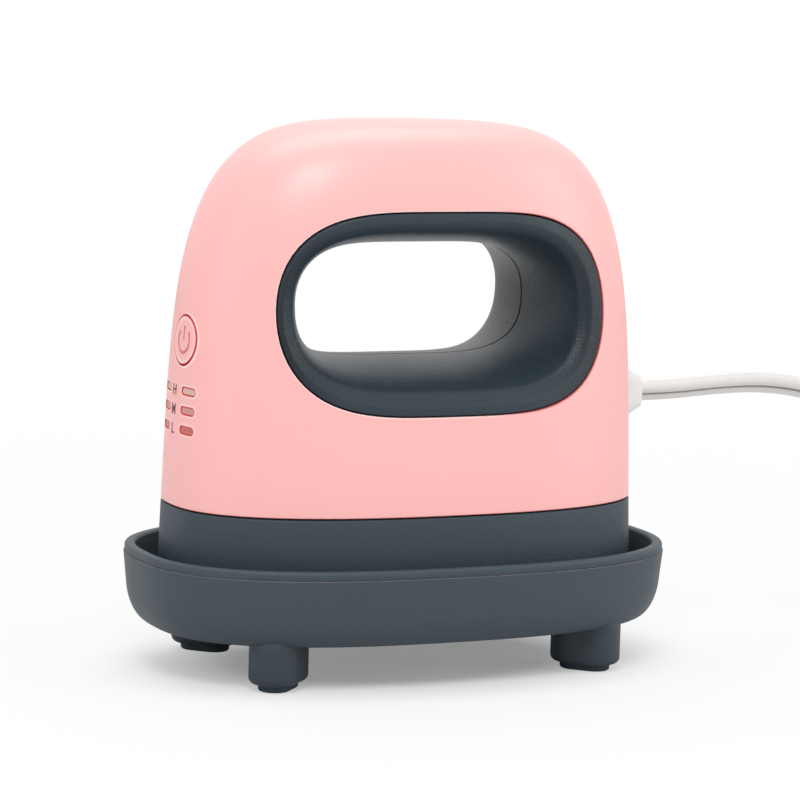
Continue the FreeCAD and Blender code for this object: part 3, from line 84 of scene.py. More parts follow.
def srgb(red: int, green: int, blue: int) -> Colour:
    """A display colour, 0 to 255, as linear light."""
    shares = np.array([red, green, blue]) / 255
    linear = np.where(shares <= 0.04045, shares / 12.92, ((shares + 0.055) / 1.055) ** 2.4)
    return tuple(float(channel) for channel in linear)


class Body(str, Enum):
    """The rigid bodies that pieces ride on."""

    STAND = "stand"
    PRESS = "press"


# ---------------------------------------------------------------- shader values
Operand = Union["Value", float]
Feed = Union["Value", Socket, float, tuple]


class Value:
    """A number inside a material, combined by ordinary arithmetic."""

    def __init__(self, nodes: "Nodes", socket: Socket) -> None:
        self.nodes = nodes
        self.socket = socket

    def _math(self, operation: str, *operands: Operand, clamp: bool = False) -> "Value":
        made = self.nodes.add("ShaderNodeMath", dict(enumerate(operands)),
                              operation=operation, use_clamp=clamp)
        return Value(self.nodes, made.outputs[0])

    def __add__(self, other: Operand) -> "Value":
        return self._math("ADD", self, other)

    def __radd__(self, other: Operand) -> "Value":
        return self._math("ADD", other, self)

    def __sub__(self, other: Operand) -> "Value":
        return self._math("SUBTRACT", self, other)

    def __rsub__(self, other: Operand) -> "Value":
        return self._math("SUBTRACT", other, self)

    def __mul__(self, other: Operand) -> "Value":
        return self._math("MULTIPLY", self, other)

    def __rmul__(self, other: Operand) -> "Value":
        return self._math("MULTIPLY", other, self)

    def __truediv__(self, other: Operand) -> "Value":
        return self._math("DIVIDE", self, other)

    def __rtruediv__(self, other: Operand) -> "Value":
        return self._math("DIVIDE", other, self)

    def __pow__(self, other: Operand) -> "Value":
        return self._math("POWER", self, other)

    def __rpow__(self, other: Operand) -> "Value":
        return self._math("POWER", other, self)

    def size(self) -> "Value":
        """Without its sign."""
        return self._math("ABSOLUTE", self)

    def wave(self) -> "Value":
        """Sine of the value in radians."""
        return self._math("SINE", self)

    def least(self, other: Operand) -> "Value":
        """The smaller of two."""
        return self._math("MINIMUM", self, other)

    def most(self, other: Operand) -> "Value":
        """The larger of two."""
        return self._math("MAXIMUM", self, other)

    def over(self, low: float, high: float) -> "Value":
        """0 below low, 1 above high, and a straight ramp between."""
        return self._math("DIVIDE", self - low, high - low, clamp=True)

    def within(self, limit: float, soft: float) -> "Value":
        """1 up to limit, and down to 0 over a further soft."""
        return 1.0 - self.over(limit, limit + soft)


class Nodes:
    """A node tree that nodes are added to."""

    def __init__(self, tree: bpy.types.NodeTree) -> None:
        self.tree = tree

    def feed(self, socket: Socket, value: Feed) -> None:
        """Puts a constant on a socket, or links what varies to it.

        Args:
            socket: the input to fill.
            value: a value, another node's output, a number, or a tuple for a colour or vector.
        """
        if isinstance(value, Value):
            value = value.socket
        if isinstance(value, Socket):
            self.tree.links.new(value, socket)
        elif isinstance(value, tuple) and socket.type == "RGBA":
            socket.default_value = (*value, 1.0)
        else:
            socket.default_value = value

    def add(self, kind: str, inputs: Optional[dict[Union[int, str], Feed]] = None,
            **settings: object) -> bpy.types.Node:
        """Adds a node.

        Args:
            kind: the node's type.
            inputs: what goes into its sockets, by name or number.
            **settings: its own settings, which are set first.

        Returns:
            The node.
        """
        made = self.tree.nodes.new(kind)
        for key, value in settings.items():
            setattr(made, key, value)
        for key, value in (inputs or {}).items():
            self.feed(made.inputs[key], value)
        return made


class Shader(Nodes):
    """The node tree of one material, with the values that a finish is made from."""

    def __init__(self, name: str) -> None:
        self.material = bpy.data.materials.new(name)
        self.material.use_nodes = True
        super().__init__(self.material.node_tree)
        self.surface = self.tree.nodes["Principled BSDF"]
        self.place = self.add("ShaderNodeTexCoord").outputs["Object"]

    def axes(self) -> tuple[Value, Value, Value]:
        """The point's X, Y and Z in metres."""
        split = self.add("ShaderNodeSeparateXYZ", {0: self.place})
        return tuple(Value(self, output) for output in split.outputs)

    def noise(self, size: float, detail: float = 2.0, stretch: Point = (1, 1, 1)) -> Value:
        """Smooth noise about 0.5.

        Args:
            size: about how large its features are, in metres.
            detail: how much finer detail lies on them.
            stretch: factor on the point's place along each axis; less than 1 draws features out.

        Returns:
            The noise.
        """
        place = self.add("ShaderNodeMapping", {"Vector": self.place, "Scale": stretch})
        made = self.add("ShaderNodeTexNoise",
                        {"Vector": place.outputs[0], "Scale": 1 / size, "Detail": detail})
        return Value(self, made.outputs["Fac"])

    def cells(self, size: float, feature: str = "F1") -> Value:
        """Distance to the nearest cell centre, or to the edge, of cells about size across."""
        made = self.add("ShaderNodeTexVoronoi", {"Vector": self.place, "Scale": 1 / size},
                        feature=feature)
        return Value(self, made.outputs["Distance"])

    def attribute(self, name: str) -> Value:
        """A number that the piece's own mesh stores at its points."""
        return Value(self, self.add("ShaderNodeAttribute", attribute_name=name).outputs["Fac"])

    def shade(self, under: Colour, layers: Iterable[tuple[Colour, Value]]) -> Feed:
        """Mixes colours over one another.

        Args:
            under: the first colour.
            layers: further colours, each with its share.

        Returns:
            The mixed colour.
        """
        mixed: Feed = under
        for colour, share in layers:
            made = self.add("ShaderNodeMix", {0: share, 6: mixed, 7: colour}, data_type="RGBA")
            mixed = made.outputs[2]
        return mixed

    def bump(self, height: Value, depth: float) -> None:
        """Relief: height 0 to 1 stands for depth metres."""
        made = self.add("ShaderNodeBump", {"Strength": 1.0, "Distance": depth, "Height": height})
        self.feed(self.surface.inputs["Normal"], made.outputs[0])

    def dress(self, sockets: dict[str, Feed]) -> None:
        """Fills the surface's own sockets, by name."""
        for name, value in sockets.items():
            self.feed(self.surface.inputs[name], value)


# ---------------------------------------------------------------- finishes
class Grain(Enum):
    """What the relief on a surface looks like."""

    SPARK = "spark eroded mould texture"
    HIDE = "fine leather-like grain"
    BRUSHED = "lines along X"
    FIBRE = "pressed fibres"
    SKIN = "smooth soft moulding"
    RIBS = "fine upright ribs"


Layers = list[tuple[Colour, Value]]


def tinted(colour: Colour, factor: float) -> Colour:
    """A colour made lighter or darker."""
    return tuple(min(channel * factor, 1.0) for channel in colour)


@dataclass(frozen=True)
class Finish:
    """A moulded, drawn or pressed surface: colour, sheen, relief and slight unevenness."""

    name: str
    colour: Colour
    roughness: float = 0.5
    metallic: float = 0.0
    coat: float = 0.0
    specular: float = 0.5
    grain: Grain = Grain.SPARK
    grain_size: float = mm(0.35)
    grain_depth: float = mm(0.006)
    unevenness: float = 0.06
    patch_size: float = mm(14)
    dust: float = 0.0
    # further colours on top, among them painted light and shade
    layers: Optional[Callable[[Shader], Layers]] = None

    def relief(self, shader: Shader) -> Value:
        """Height of the fine relief, 0 to 1."""
        size = self.grain_size
        if self.grain is Grain.HIDE:
            pits = shader.cells(size, "DISTANCE_TO_EDGE").over(0.0, 0.25)
            return pits * 0.6 + shader.noise(size * 0.8) * 0.4
        if self.grain is Grain.BRUSHED:
            return shader.noise(size, 3.0, (0.04, 1.0, 1.0))
        if self.grain is Grain.FIBRE:
            lengthways = shader.noise(size, 3.0, (0.15, 1.0, 1.0))
            crossways = shader.noise(size, 3.0, (1.0, 0.15, 1.0))
            return lengthways * 0.5 + crossways * 0.5
        if self.grain is Grain.SKIN:
            return shader.noise(size * 8, 2.0)
        if self.grain is Grain.RIBS:
            return (shader.axes()[1] * (2 * math.pi / size)).wave() * 0.5 + 0.5
        return shader.noise(size, 2.5) * 0.75 + shader.cells(size * 1.6) * 0.25

    def build(self) -> Material:
        """Makes the material, with its relief, patches of slightly other colour, and specks of dust.

        Returns:
            The material.
        """
        shader = Shader(self.name)
        patches = shader.noise(self.patch_size, 4.0)
        fine = shader.noise(self.grain_size * 2, 2.0)
        layers = [(tinted(self.colour, 1 + self.unevenness), patches * 0.6 + fine * 0.4)]
        if self.grain is Grain.RIBS:
            layers.append((tinted(self.colour, 0.8), self.relief(shader) * 0.6))
        if self.dust:
            specks = shader.noise(mm(0.5), 1.0).over(0.76, 0.82)
            layers.append((tinted(self.colour, 2.2), specks * self.dust))
        if self.layers:
            layers += self.layers(shader)
        shader.dress({
            "Base Color": shader.shade(tinted(self.colour, 1 - self.unevenness), layers),
            "Roughness": self.roughness - 0.06 + patches * 0.08 + fine * 0.04,
            "Metallic": self.metallic,
            "Coat Weight": self.coat,
            "Specular IOR Level": self.specular,
        })
        shader.bump(self.relief(shader), self.grain_depth)
        return shader.material


# ---------------------------------------------------------------- meshes from grids
class MeshMaker:
    """Collects grids of points and turns them into one piece.

    A grid has rows by columns of points. Seen from outside, its columns run to the right and its rows
    run up, so its faces point outwards.
    """

    def __init__(self, name: str) -> None:
        self.name = name
        self.points: list[Array] = []
        self.faces: list[Array] = []
        self.marks: list[Array] = []
        self.count = 0

    def add(self, points: Array, faces: Array, mark: Optional[Array] = None) -> None:
        """Adds points and the faces between them.

        Args:
            points: the points, in any arrangement.
            faces: numbers of each face's points, all with as many corners.
            mark: a number for each point, kept as the attribute "mark".
        """
        points = points.reshape(-1, 3)
        self.faces.append(faces + self.count)
        self.points.append(points)
        self.marks.append(np.zeros(len(points)) if mark is None else mark.reshape(-1))
        self.count += len(points)

    def grid(self, rows: Array, wrap: bool = False, flip: bool = False,
             mark: Optional[Array] = None) -> None:
        """Adds a grid.

        Args:
            rows: rows by columns of points.
            wrap: joins the last column to the first.
            flip: turns the faces inside out.
            mark: a number for each point.
        """
        index = np.arange(rows.shape[0] * rows.shape[1]).reshape(rows.shape[:2])
        if wrap:
            index = np.hstack([index, index[:, :1]])
        quads = np.stack([index[:-1, :-1], index[:-1, 1:], index[1:, 1:], index[1:, :-1]], -1)
        quads = quads.reshape(-1, 4)
        self.add(rows, quads[:, ::-1] if flip else quads, mark)

    def fan(self, ring: Array, centre: Array, flip: bool = False) -> None:
        """Closes a ring of points with triangles to its centre.

        Args:
            ring: the points, turning left seen from outside.
            centre: the point in the middle.
            flip: turns the faces inside out.
        """
        corner = np.arange(len(ring))
        triangles = np.stack([corner, np.roll(corner, -1), np.full_like(corner, len(ring))], -1)
        self.add(np.vstack([ring, centre]), triangles[:, ::-1] if flip else triangles)

    def object(self, sharp_degrees: float = SHARP_DEGREES) -> Piece:
        """Makes the piece, smooth but for its sharp edges.

        Args:
            sharp_degrees: edges that turn more than this stay sharp.

        Returns:
            The new object.
        """
        mesh = bpy.data.meshes.new(self.name)
        faces = [face for group in self.faces for face in group.tolist()]
        mesh.from_pydata(np.vstack(self.points), [], faces)
        mark = mesh.attributes.new("mark", "FLOAT", "POINT")
        mark.data.foreach_set("value", np.concatenate(self.marks).astype(np.float32))
        work = bmesh.new()
        work.from_mesh(mesh)
        bmesh.ops.remove_doubles(work, verts=work.verts, dist=WELD_DISTANCE)
        bmesh.ops.dissolve_degenerate(work, edges=work.edges, dist=WELD_DISTANCE)
        work.to_mesh(mesh)
        work.free()
        piece = bpy.data.objects.new(self.name, mesh)
        bpy.context.scene.collection.objects.link(piece)
        soften(piece, sharp_degrees)
        return piece


def soften(piece: Piece, sharp_degrees: float = SHARP_DEGREES) -> None:
    """Smooth shading, but for edges sharper than sharp_degrees."""
    piece.data.polygons.foreach_set("use_smooth", np.ones(len(piece.data.polygons), bool))
    piece.data.set_sharp_from_angle(angle=math.radians(sharp_degrees))
    piece.data.update()


def dress_piece(piece: Piece, material: Material, body: Body,
                replaces: Sequence[str] = ()) -> None:
    """Gives a new piece its material and body.

    Args:
        piece: the new piece.
        material: its finish.
        body: the body it rides on.
        replaces: the solids that it stands for, which are hidden.
    """
    piece.data.materials.clear()
    piece.data.materials.append(material)
    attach(piece, body.value)
    if replaces:
        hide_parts(*replaces)
    LOG.info("%s: %d faces, on %s, for %s", piece.name, len(piece.data.polygons), body.value,
             list(replaces))


def cut_away(piece: Piece, cutters: Sequence[Piece]) -> None:
    """Cuts the closed cutters out of a closed piece, and removes them.

    Args:
        piece: the piece, which gets a new mesh.
        cutters: what is cut out of it.
    """
    for cutter in cutters:
        step = piece.modifiers.new("cut", "BOOLEAN")
        step.operation = "DIFFERENCE"
        step.solver = "EXACT"
        step.object = cutter
        bpy.context.view_layer.update()
        view = bpy.context.evaluated_depsgraph_get()
        made = bpy.data.meshes.new_from_object(piece.evaluated_get(view))
        piece.modifiers.remove(step)
        piece.data = made
        bpy.data.objects.remove(cutter)


def unit_outline(turn: Array, powers: Pair) -> tuple[Array, Array]:
    """Points of the outline |a|^powers[0] + |b|^powers[1] = 1.

    The reach at each turn is halved in on between 0 and 2, as the two powers may differ.

    Args:
        turn: turns in radians.
        powers: the power along a and along b.

    Returns:
        a and b at each turn.
    """
    across, along = np.cos(turn), np.sin(turn)
    low, high = np.zeros_like(across), np.full_like(across, 2.0)
    for _ in range(40):
        middle = (low + high) / 2
        inside = np.abs(middle * across) ** powers[0] + np.abs(middle * along) ** powers[1] < 1
        low, high = np.where(inside, middle, low), np.where(inside, high, middle)
    return across * low, along * low


def superellipse(turn: Array, power: float) -> tuple[Array, Array]:
    """a and b of |a|^power + |b|^power = 1 at each turn, in radians."""
    across, along = np.cos(turn), np.sin(turn)
    reach = (np.abs(across) ** power + np.abs(along) ** power) ** (-1 / power)
    return across * reach, along * reach


def turns(count: int, start: float = 0.0, end: float = 2 * math.pi) -> Array:
    """Evenly spaced turns from start up to, but not with, end."""
    return np.linspace(start, end, count, endpoint=False)


def smooth_step(share: Array) -> Array:
    """An S-shaped ramp: 0 at 0, 1 at 1, level at both."""
    return share * share * (3 - 2 * share)


def curve_mesh(curve: bpy.types.Curve) -> tuple[Array, Array]:
    """Turns a curve that isn't in the scene into plain arrays, and removes it.

    Args:
        curve: a curve or a text.

    Returns:
        Its points, and the triangles between them if it has any.
    """
    holder = bpy.data.objects.new(curve.name, curve)
    mesh = bpy.data.meshes.new_from_object(holder)
    mesh.calc_loop_triangles()
    points = np.array([vertex.co for vertex in mesh.vertices])
    triangles = np.array([triangle.vertices for triangle in mesh.loop_triangles])
    bpy.data.objects.remove(holder)
    bpy.data.meshes.remove(mesh)
    bpy.data.curves.remove(curve)
    return points, triangles


def rounding(radius: float, steps: int = 5) -> list[Pair]:
    """A quarter round: pairs that go from (radius, 0) to (0, radius)."""
    angles = np.linspace(0, math.pi / 2, steps + 1)
    return [(radius * math.cos(a), radius * math.sin(a)) for a in angles]


# ---------------------------------------------------------------- the press's outer form
@dataclass(frozen=True)
class PressForm:
    """The casing's outer form: superellipse sections that taper and round over to the crown."""

    seam: float = mm(40.7)
    rise: float = mm(91.4)
    half_length: float = mm(59.225)
    half_width: float = mm(32.75)
    plan_power: float = 2.48
    side_power: float = 4.1
    end_power: float = 4.6
    side_taper: float = 0.03
    end_taper: float = 0.054

    def half(self, z: Array, inset: float = 0.0) -> tuple[Array, Array]:
        """Half length and half width at a height.

        Each is its value at the seam, less the taper, times (1 - t^power)^(1/power), where t is the
        share of the way from the seam to the crown.

        Args:
            z: heights.
            inset: how far inside the surface.

        Returns:
            Half lengths and half widths.
        """
        climb = z - self.seam
        share = np.clip(climb / (self.rise - inset), 0.0, 1.0)
        half_x = (self.half_length - inset - self.side_taper * climb) * (
            1 - share ** self.side_power) ** (1 / self.side_power)
        half_y = (self.half_width - inset - self.end_taper * climb) * (
            1 - share ** self.end_power) ** (1 / self.end_power)
        return half_x, half_y

    def _across(self, place: Array, half: Array, other: Array) -> Array:
        left = np.clip(1 - (np.abs(place) / np.maximum(half, 1e-9)) ** self.plan_power, 0.0, 1.0)
        return other * left ** (1 / self.plan_power)

    def depth(self, x: Array, z: Array, inset: float = 0.0) -> Array:
        """How far the side stands from the middle plane."""
        half_x, half_y = self.half(z, inset)
        return self._across(x, half_x, half_y)

    def end(self, y: Array, z: Array, inset: float = 0.0) -> Array:
        """How far the end stands from the centre."""
        half_x, half_y = self.half(z, inset)
        return self._across(y, half_y, half_x)

    def height(self, share: Array, inset: float = 0.0) -> Array:
        """Height at a share of the quarter turn from the seam to the crown."""
        _, rise = superellipse(share * math.pi / 2, self.side_power)
        return self.seam + (self.rise - inset) * rise

    def share(self, z: Array, inset: float = 0.0) -> Array:
        """The share of the quarter turn at a height: height() turned round."""
        rise = (z - self.seam) / (self.rise - inset)
        return np.arctan2(rise, (1 - rise ** self.side_power) ** (1 / self.side_power)) / (math.pi / 2)

    def points(self, turn: Array, z: Array, inset: float = 0.0) -> Array:
        """Points of the form at plan turns and heights, which broadcast together."""
        half_x, half_y = self.half(z, inset)
        across, along = superellipse(turn, self.plan_power)
        return np.stack(np.broadcast_arrays(half_x * across, half_y * along, z), axis=-1)


@dataclass(frozen=True)
class Opening:
    """The grip's opening in the shell, and the finger hole inside it."""

    half_length: float = mm(42.65)
    half_height: float = mm(23.95)
    powers: Pair = (3.95, 2.12)
    centre_z: float = mm(87.9)
    lip_at_ends: float = mm(3.2)
    lip_above: float = mm(2.85)
    mouth_shift: float = mm(-1.65)
    grip_half_length: float = mm(32.2)
    grip_half_height: float = mm(13.8)
    grip_powers: Pair = (4.3, 2.5)
    grip_shift: float = mm(-0.5)
    grip_rise: float = mm(1.3)
    flare_power: float = 1.85
    gap: float = mm(0.35)
    seam: float = mm(0.2)

    def outline(self, turn: Array, grow: float = 0.0) -> tuple[Array, Array]:
        """X and Z round the window, grown by grow."""
        across, along = unit_outline(turn, self.powers)
        return (self.half_length + grow) * across, self.centre_z + (self.half_height + grow) * along

    def mouth(self, turn: Array) -> tuple[Array, Array]:
        """X and Z round the mouth, where the lip ends."""
        across, along = unit_outline(turn, self.powers)
        return (self.mouth_shift + (self.half_length - self.lip_at_ends) * across,
                self.centre_z + (self.half_height - self.lip_above) * along)

    def flare(self, turn: Array, share: float, form: PressForm, grow: float = 0.0) -> Array:
        """Points round the finger hole, on the front side.

        Share 0 is the middle seam and 1 the mouth at the lip. Sizes, powers and centre go from the
        grip's to the mouth's by 1 - (1 - share^p)^(1/p), and the depth goes to the casing's side in
        proportion to the share.

        Args:
            turn: turns round the hole.
            share: how far out.
            form: the casing's form.
            grow: how much larger than the hole.

        Returns:
            A row of points.
        """
        out = 1 - (1 - share ** self.flare_power) ** (1 / self.flare_power)
        mouth_x, mouth_z = self.half_length - self.lip_at_ends, self.half_height - self.lip_above
        half_x = self.grip_half_length + (mouth_x - self.grip_half_length) * out
        half_z = self.grip_half_height + (mouth_z - self.grip_half_height) * out
        powers = tuple(a + (b - a) * out for a, b in zip(self.grip_powers, self.powers))
        across, along = unit_outline(turn, powers)
        x = self.grip_shift + (self.mouth_shift - self.grip_shift) * out + (half_x + grow) * across
        z = self.centre_z + self.grip_rise * (1 - out) + (half_z + grow) * along
        depth = form.depth(*self.mouth(turn))
        return np.stack([x, -self.seam / 2 - share * (depth - self.seam / 2), z], -1)


@dataclass(frozen=True)
class EndFace:
    """Where the button and the rows of lit windows stand on the button end."""

    button_radius: float = mm(5.65)
    button_gap: float = mm(0.3)
    button_y: float = mm(-2.4)
    button_z: float = mm(80.1)
    symbol_radius: float = mm(3.0)
    symbol_stroke: float = mm(0.65)
    symbol_opening: float = math.radians(50)
    slot_length: float = mm(6.1)
    slot_height: float = mm(1.9)
    slot_spread: float = mm(12.7)
    row_z: tuple[float, ...] = (mm(68.3), mm(63.7), mm(59.1))
    letters: tuple[str, ...] = ("H", "M", "L")

    def from_slot(self, shader: Shader) -> Value:
        """Distance from the middle line of the nearest slot, in Y and Z."""
        _, y, z = shader.axes()
        rows = [(z - row).size() for row in self.row_z]
        straight = (self.slot_length - self.slot_height) / 2
        beside = ((y.size() - self.slot_spread / 2).size() - straight).most(0.0)
        up = rows[0].least(rows[1]).least(rows[2])
        return (beside * beside + up * up) ** 0.5

    def from_button(self, shader: Shader) -> Value:
        """Distance from the button's axis."""
        _, y, z = shader.axes()
        side, up = y - self.button_y, z - self.button_z
        return (side * side + up * up) ** 0.5


FORM = PressForm()
OPENING = Opening()
END_FACE = EndFace()


@dataclass(frozen=True)
class UpperShell:
    """The pink shell: outer and inner skins with rounded window edges, and its end openings."""

    wall: float = mm(2.2)
    window_round: float = mm(0.3)
    seam_round: float = mm(0.25)
    crown_end: float = 0.965
    columns: int = 60
    rows: int = 30
    row_power: float = 1.15
    window_samples: int = 4000
    cord_radius: float = mm(4.2)
    cord_z: float = mm(64.75)
    cutter_reach: float = 1.2       # of the half length
    cutter_start: float = 0.7       # of that reach

    def border(self, low: float) -> Array:
        """Plan turn and height share of points round the front half's border, corner to corner.

        Args:
            low: the height share of its lower side.

        Returns:
            The pairs, from the lower left corner on round to the right.
        """
        along = np.linspace(-math.pi, 0, self.columns, endpoint=False)
        up = np.linspace(low, self.crown_end, self.columns // 2, endpoint=False)
        down = low + self.crown_end - up
        return np.vstack([np.column_stack([along, np.full_like(along, low)]),
                          np.column_stack([np.zeros_like(up), up]),
                          np.column_stack([-math.pi - along, np.full_like(along, self.crown_end)]),
                          np.column_stack([np.full_like(up, -math.pi), down])])

    def window_place(self, turn: Array, grow: float, inset: float) -> Array:
        """Plan turn and height share of the window's outline.

        Args:
            turn: turns round the window.
            grow: how much larger than the window.
            inset: how far inside the outer skin.

        Returns:
            A pair for each turn.
        """
        x, z = OPENING.outline(turn, grow)
        half_x, half_y = FORM.half(z, inset)
        wide = np.sign(x) * (np.abs(x) / half_x) / (FORM.depth(x, z, inset) / half_y)
        plan = -math.pi / 2 + np.arctan(wide)
        return np.stack([plan, FORM.share(z, inset)], -1)

    def window_turns(self) -> Array:
        """The window's turn that faces each point of the border."""
        dense = turns(self.window_samples)
        place = self.window_place(dense, 0.0, 0.0)
        centre = np.array([-math.pi / 2, (place[:, 1].min() + place[:, 1].max()) / 2])
        scale = np.array([math.pi, 1.0])
        from_centre = (place - centre) / scale
        wanted = (self.border(0.0) - centre) / scale
        bearing = np.unwrap(np.arctan2(from_centre[:, 1], from_centre[:, 0]))
        aim = bearing[0] + np.mod(np.arctan2(wanted[:, 1], wanted[:, 0]) - bearing[0], 2 * math.pi)
        return np.interp(aim, bearing, dense)

    def skin(self, turn: Array, inset: float, grow: float, low: float) -> Array:
        """Rows from the window's edge out to the border of the front half.

        Plan turn and height share go straight from the window's to the border's, by step^row_power.

        Args:
            turn: the window's turn of each column.
            inset: 0 for the outer skin, the wall for the inner one.
            grow: how much larger than the window the first row is.
            low: height share of the lower border.

        Returns:
            Rows by columns of points.
        """
        inner = self.window_place(turn, grow, inset)
        steps = np.linspace(0, 1, self.rows + 1)[:, None, None] ** self.row_power
        mixed = inner + (self.border(low) - inner) * steps
        return FORM.points(mixed[..., 0], FORM.height(mixed[..., 1], inset), inset)

    def rim(self, turn: Array) -> Array:
        """Rows from the wall's inside, through the window's edge, round its edge to the outer skin."""
        radius = self.window_round
        runs = [(0.0, self.wall)] + [(radius - a, radius - b) for a, b in rounding(radius)]
        rows = []
        for run, drop in runs:
            x, z = OPENING.outline(turn, run)
            rows.append(np.stack([x, -FORM.depth(x, z, drop), z], -1))
        return np.array(rows)

    def lower_edge(self) -> Array:
        """Rows from the inner skin's lowest ring, across and round the edge to the outer skin."""
        front = self.border(0.0)[:self.columns, 0]
        turn = np.concatenate([front, front + math.pi])
        radius = self.seam_round
        runs = [(0.0, self.wall)] + [(radius - b, radius - a) for a, b in rounding(radius)[::-1]]
        return np.array([FORM.points(turn, np.full_like(turn, FORM.seam + up), inset)
                         for up, inset in runs])

    def cutters(self) -> list[Piece]:
        """Closed shapes of the button's, the level windows' and the cord's openings."""
        end = END_FACE
        reach = FORM.half_length * self.cutter_reach
        start = reach * self.cutter_start
        button_end, cord_end = (-reach, -start), (start, reach)
        slot = slot_outline(end.slot_length, end.slot_height)
        hole = round_outline(end.button_radius + end.button_gap)
        shapes = [(hole, (end.button_y, end.button_z), button_end),
                  (round_outline(self.cord_radius), (0.0, self.cord_z), cord_end)]
        shapes += [(slot, (side * end.slot_spread / 2, z), button_end)
                   for z in end.row_z for side in (-1, 1)]
        return [bar_along_x(f"cutter_{index}", *shape) for index, shape in enumerate(shapes)]

    def build(self, material: Material) -> None:
        """Builds the shell as one closed piece.

        Args:
            material: its finish.
        """
        maker = MeshMaker("shell_skin")
        turn = self.window_turns()
        low = float(FORM.share(FORM.seam + self.seam_round))
        outer = self.skin(turn, 0.0, self.window_round, low)
        inner = self.skin(turn, self.wall, 0.0, 0.0)
        rim = self.rim(turn)
        # the rim rows are marked for the painted highlight and painted red shade of the window's edge
        marks = np.zeros(rim.shape[:2])
        marks[1:-1] = 1.0
        for mirror in (1, -1):
            flip = np.array([1, mirror, 1])
            maker.grid(outer * flip, wrap=True, flip=mirror > 0)
            maker.grid(inner * flip, wrap=True, flip=mirror < 0)
            maker.grid(rim * flip, wrap=True, flip=mirror > 0, mark=marks)
        crown = self.columns + self.columns // 2
        for rows, upside in ((outer, False), (inner, True)):
            front = rows[-1][crown:crown + self.columns + 1]
            ring = np.vstack([front, (front * np.array([1, -1, 1]))[-2:0:-1]])
            maker.fan(ring, np.array([0.0, 0.0, ring[0][2]]), flip=upside)
        maker.grid(self.lower_edge(), wrap=True)
        piece = maker.object()
        cut_away(piece, self.cutters())
        soften(piece)
        dress_piece(piece, material, Body.PRESS, ["upper_shell"])


def round_outline(radius: float, count: int = 64) -> Array:
    """A circle's points, about the origin."""
    turn = turns(count)
    return np.stack([radius * np.cos(turn), radius * np.sin(turn)], -1)


def slot_outline(length: float, height: float, count: int = 24) -> Array:
    """A slot's outline with half-round ends, about the origin, long in its first direction.

    Args:
        length: over both ends.
        height: across.
        count: points on each end.

    Returns:
        The points, turning left.
    """
    radius = height / 2
    reach = length / 2 - radius
    right = np.linspace(-math.pi / 2, math.pi / 2, count)
    left = right + math.pi
    return np.vstack([np.stack([reach + radius * np.cos(right), radius * np.sin(right)], -1),
                      np.stack([-reach + radius * np.cos(left), radius * np.sin(left)], -1)])


def bar_along_x(name: str, outline: Array, place: Pair,
                span: Pair) -> Piece:
    """A closed bar along X.

    Args:
        name: the object's name.
        outline: its outline in Y and Z.
        place: where the outline's origin stands in Y and Z.
        span: its two ends in X.

    Returns:
        The new object.
    """
    maker = MeshMaker(name)
    ends = [np.column_stack([np.full(len(outline), x), outline + np.array(place)]) for x in span]
    maker.grid(np.array(ends), wrap=True)
    maker.fan(ends[0], np.array([span[0], *place]), flip=True)
    maker.fan(ends[1], np.array([span[1], *place]))
    return maker.object()


@dataclass(frozen=True)
class GripSleeve:
    """The dark sleeve: two halves that meet inside the handle, each with a flush lip."""

    edge_round: float = mm(0.45)
    edge_depth: float = mm(5.0)
    seam_round: float = mm(0.3)
    wall: float = mm(2.0)
    mouth_start: float = 0.93
    seam_start: float = 0.0125
    corner_start: float = 0.35
    lip_shares: tuple[float, ...] = (0.33, 0.66)
    corner_rows: int = 8
    columns: int = 240
    rows: int = 36

    def lip_row(self, turn: Array, grow: float, drop: float) -> Array:
        """A row round the lip: the window's outline less the gap, laid below the casing's surface."""
        x, z = OPENING.outline(turn, grow - OPENING.gap)
        return np.stack([x, -FORM.depth(x, z, drop), z], -1)

    def mouth_rows(self, turn: Array, lip: Array) -> list[Array]:
        """Rows across the lip and round the corner where it turns into the hole.

        The corner is a quadratic curve from the lip, by the mouth's edge, to the hole's flank.

        Args:
            turn: turns round the opening.
            lip: the row at the lip's outer edge.

        Returns:
            The rows after it, up to the hole's flank.
        """
        after = OPENING.flare(turn, self.mouth_start, FORM)
        x, z = OPENING.mouth(turn)
        corner = np.stack([x, -FORM.depth(x, z), z], -1)
        before = corner + (lip - corner) * self.corner_start
        rows = [lip + (before - lip) * share for share in self.lip_shares]
        return rows + [(1 - share) ** 2 * before + 2 * share * (1 - share) * corner + share ** 2 * after
                       for share in turns(self.corner_rows, 0.0, 1.0)]

    def half(self) -> Array:
        """Rows of the front half: down the lip's edge, over the lip, through the hole to the seam."""
        turn = turns(self.columns)
        radius = self.edge_round
        rows = [self.lip_row(turn, 0.0, self.edge_depth)]
        rows += [self.lip_row(turn, a - radius, radius - b) for a, b in rounding(radius)]
        rows += self.mouth_rows(turn, rows[-1])
        angles = np.linspace(math.asin(self.mouth_start), math.asin(self.seam_start), self.rows + 1)
        rows += [OPENING.flare(turn, math.sin(angle), FORM) for angle in angles]
        edge = self.seam_round
        rows += [OPENING.flare(turn, 0.0, FORM, edge - a) - np.array([0, edge - b, 0])
                 for a, b in rounding(edge)]
        rows.append(OPENING.flare(turn, 0.0, FORM, self.wall))
        return np.array(rows)

    def build(self, material: Material) -> None:
        """Builds both halves.

        Args:
            material: their finish.
        """
        rows = self.half()
        for name, mirror in (("front", 1), ("rear", -1)):
            maker = MeshMaker(f"grip_{name}")
            maker.grid(rows * np.array([1, mirror, 1]), wrap=True, flip=mirror < 0)
            dress_piece(maker.object(), material, Body.PRESS, [f"handle_sleeve_{name}"])


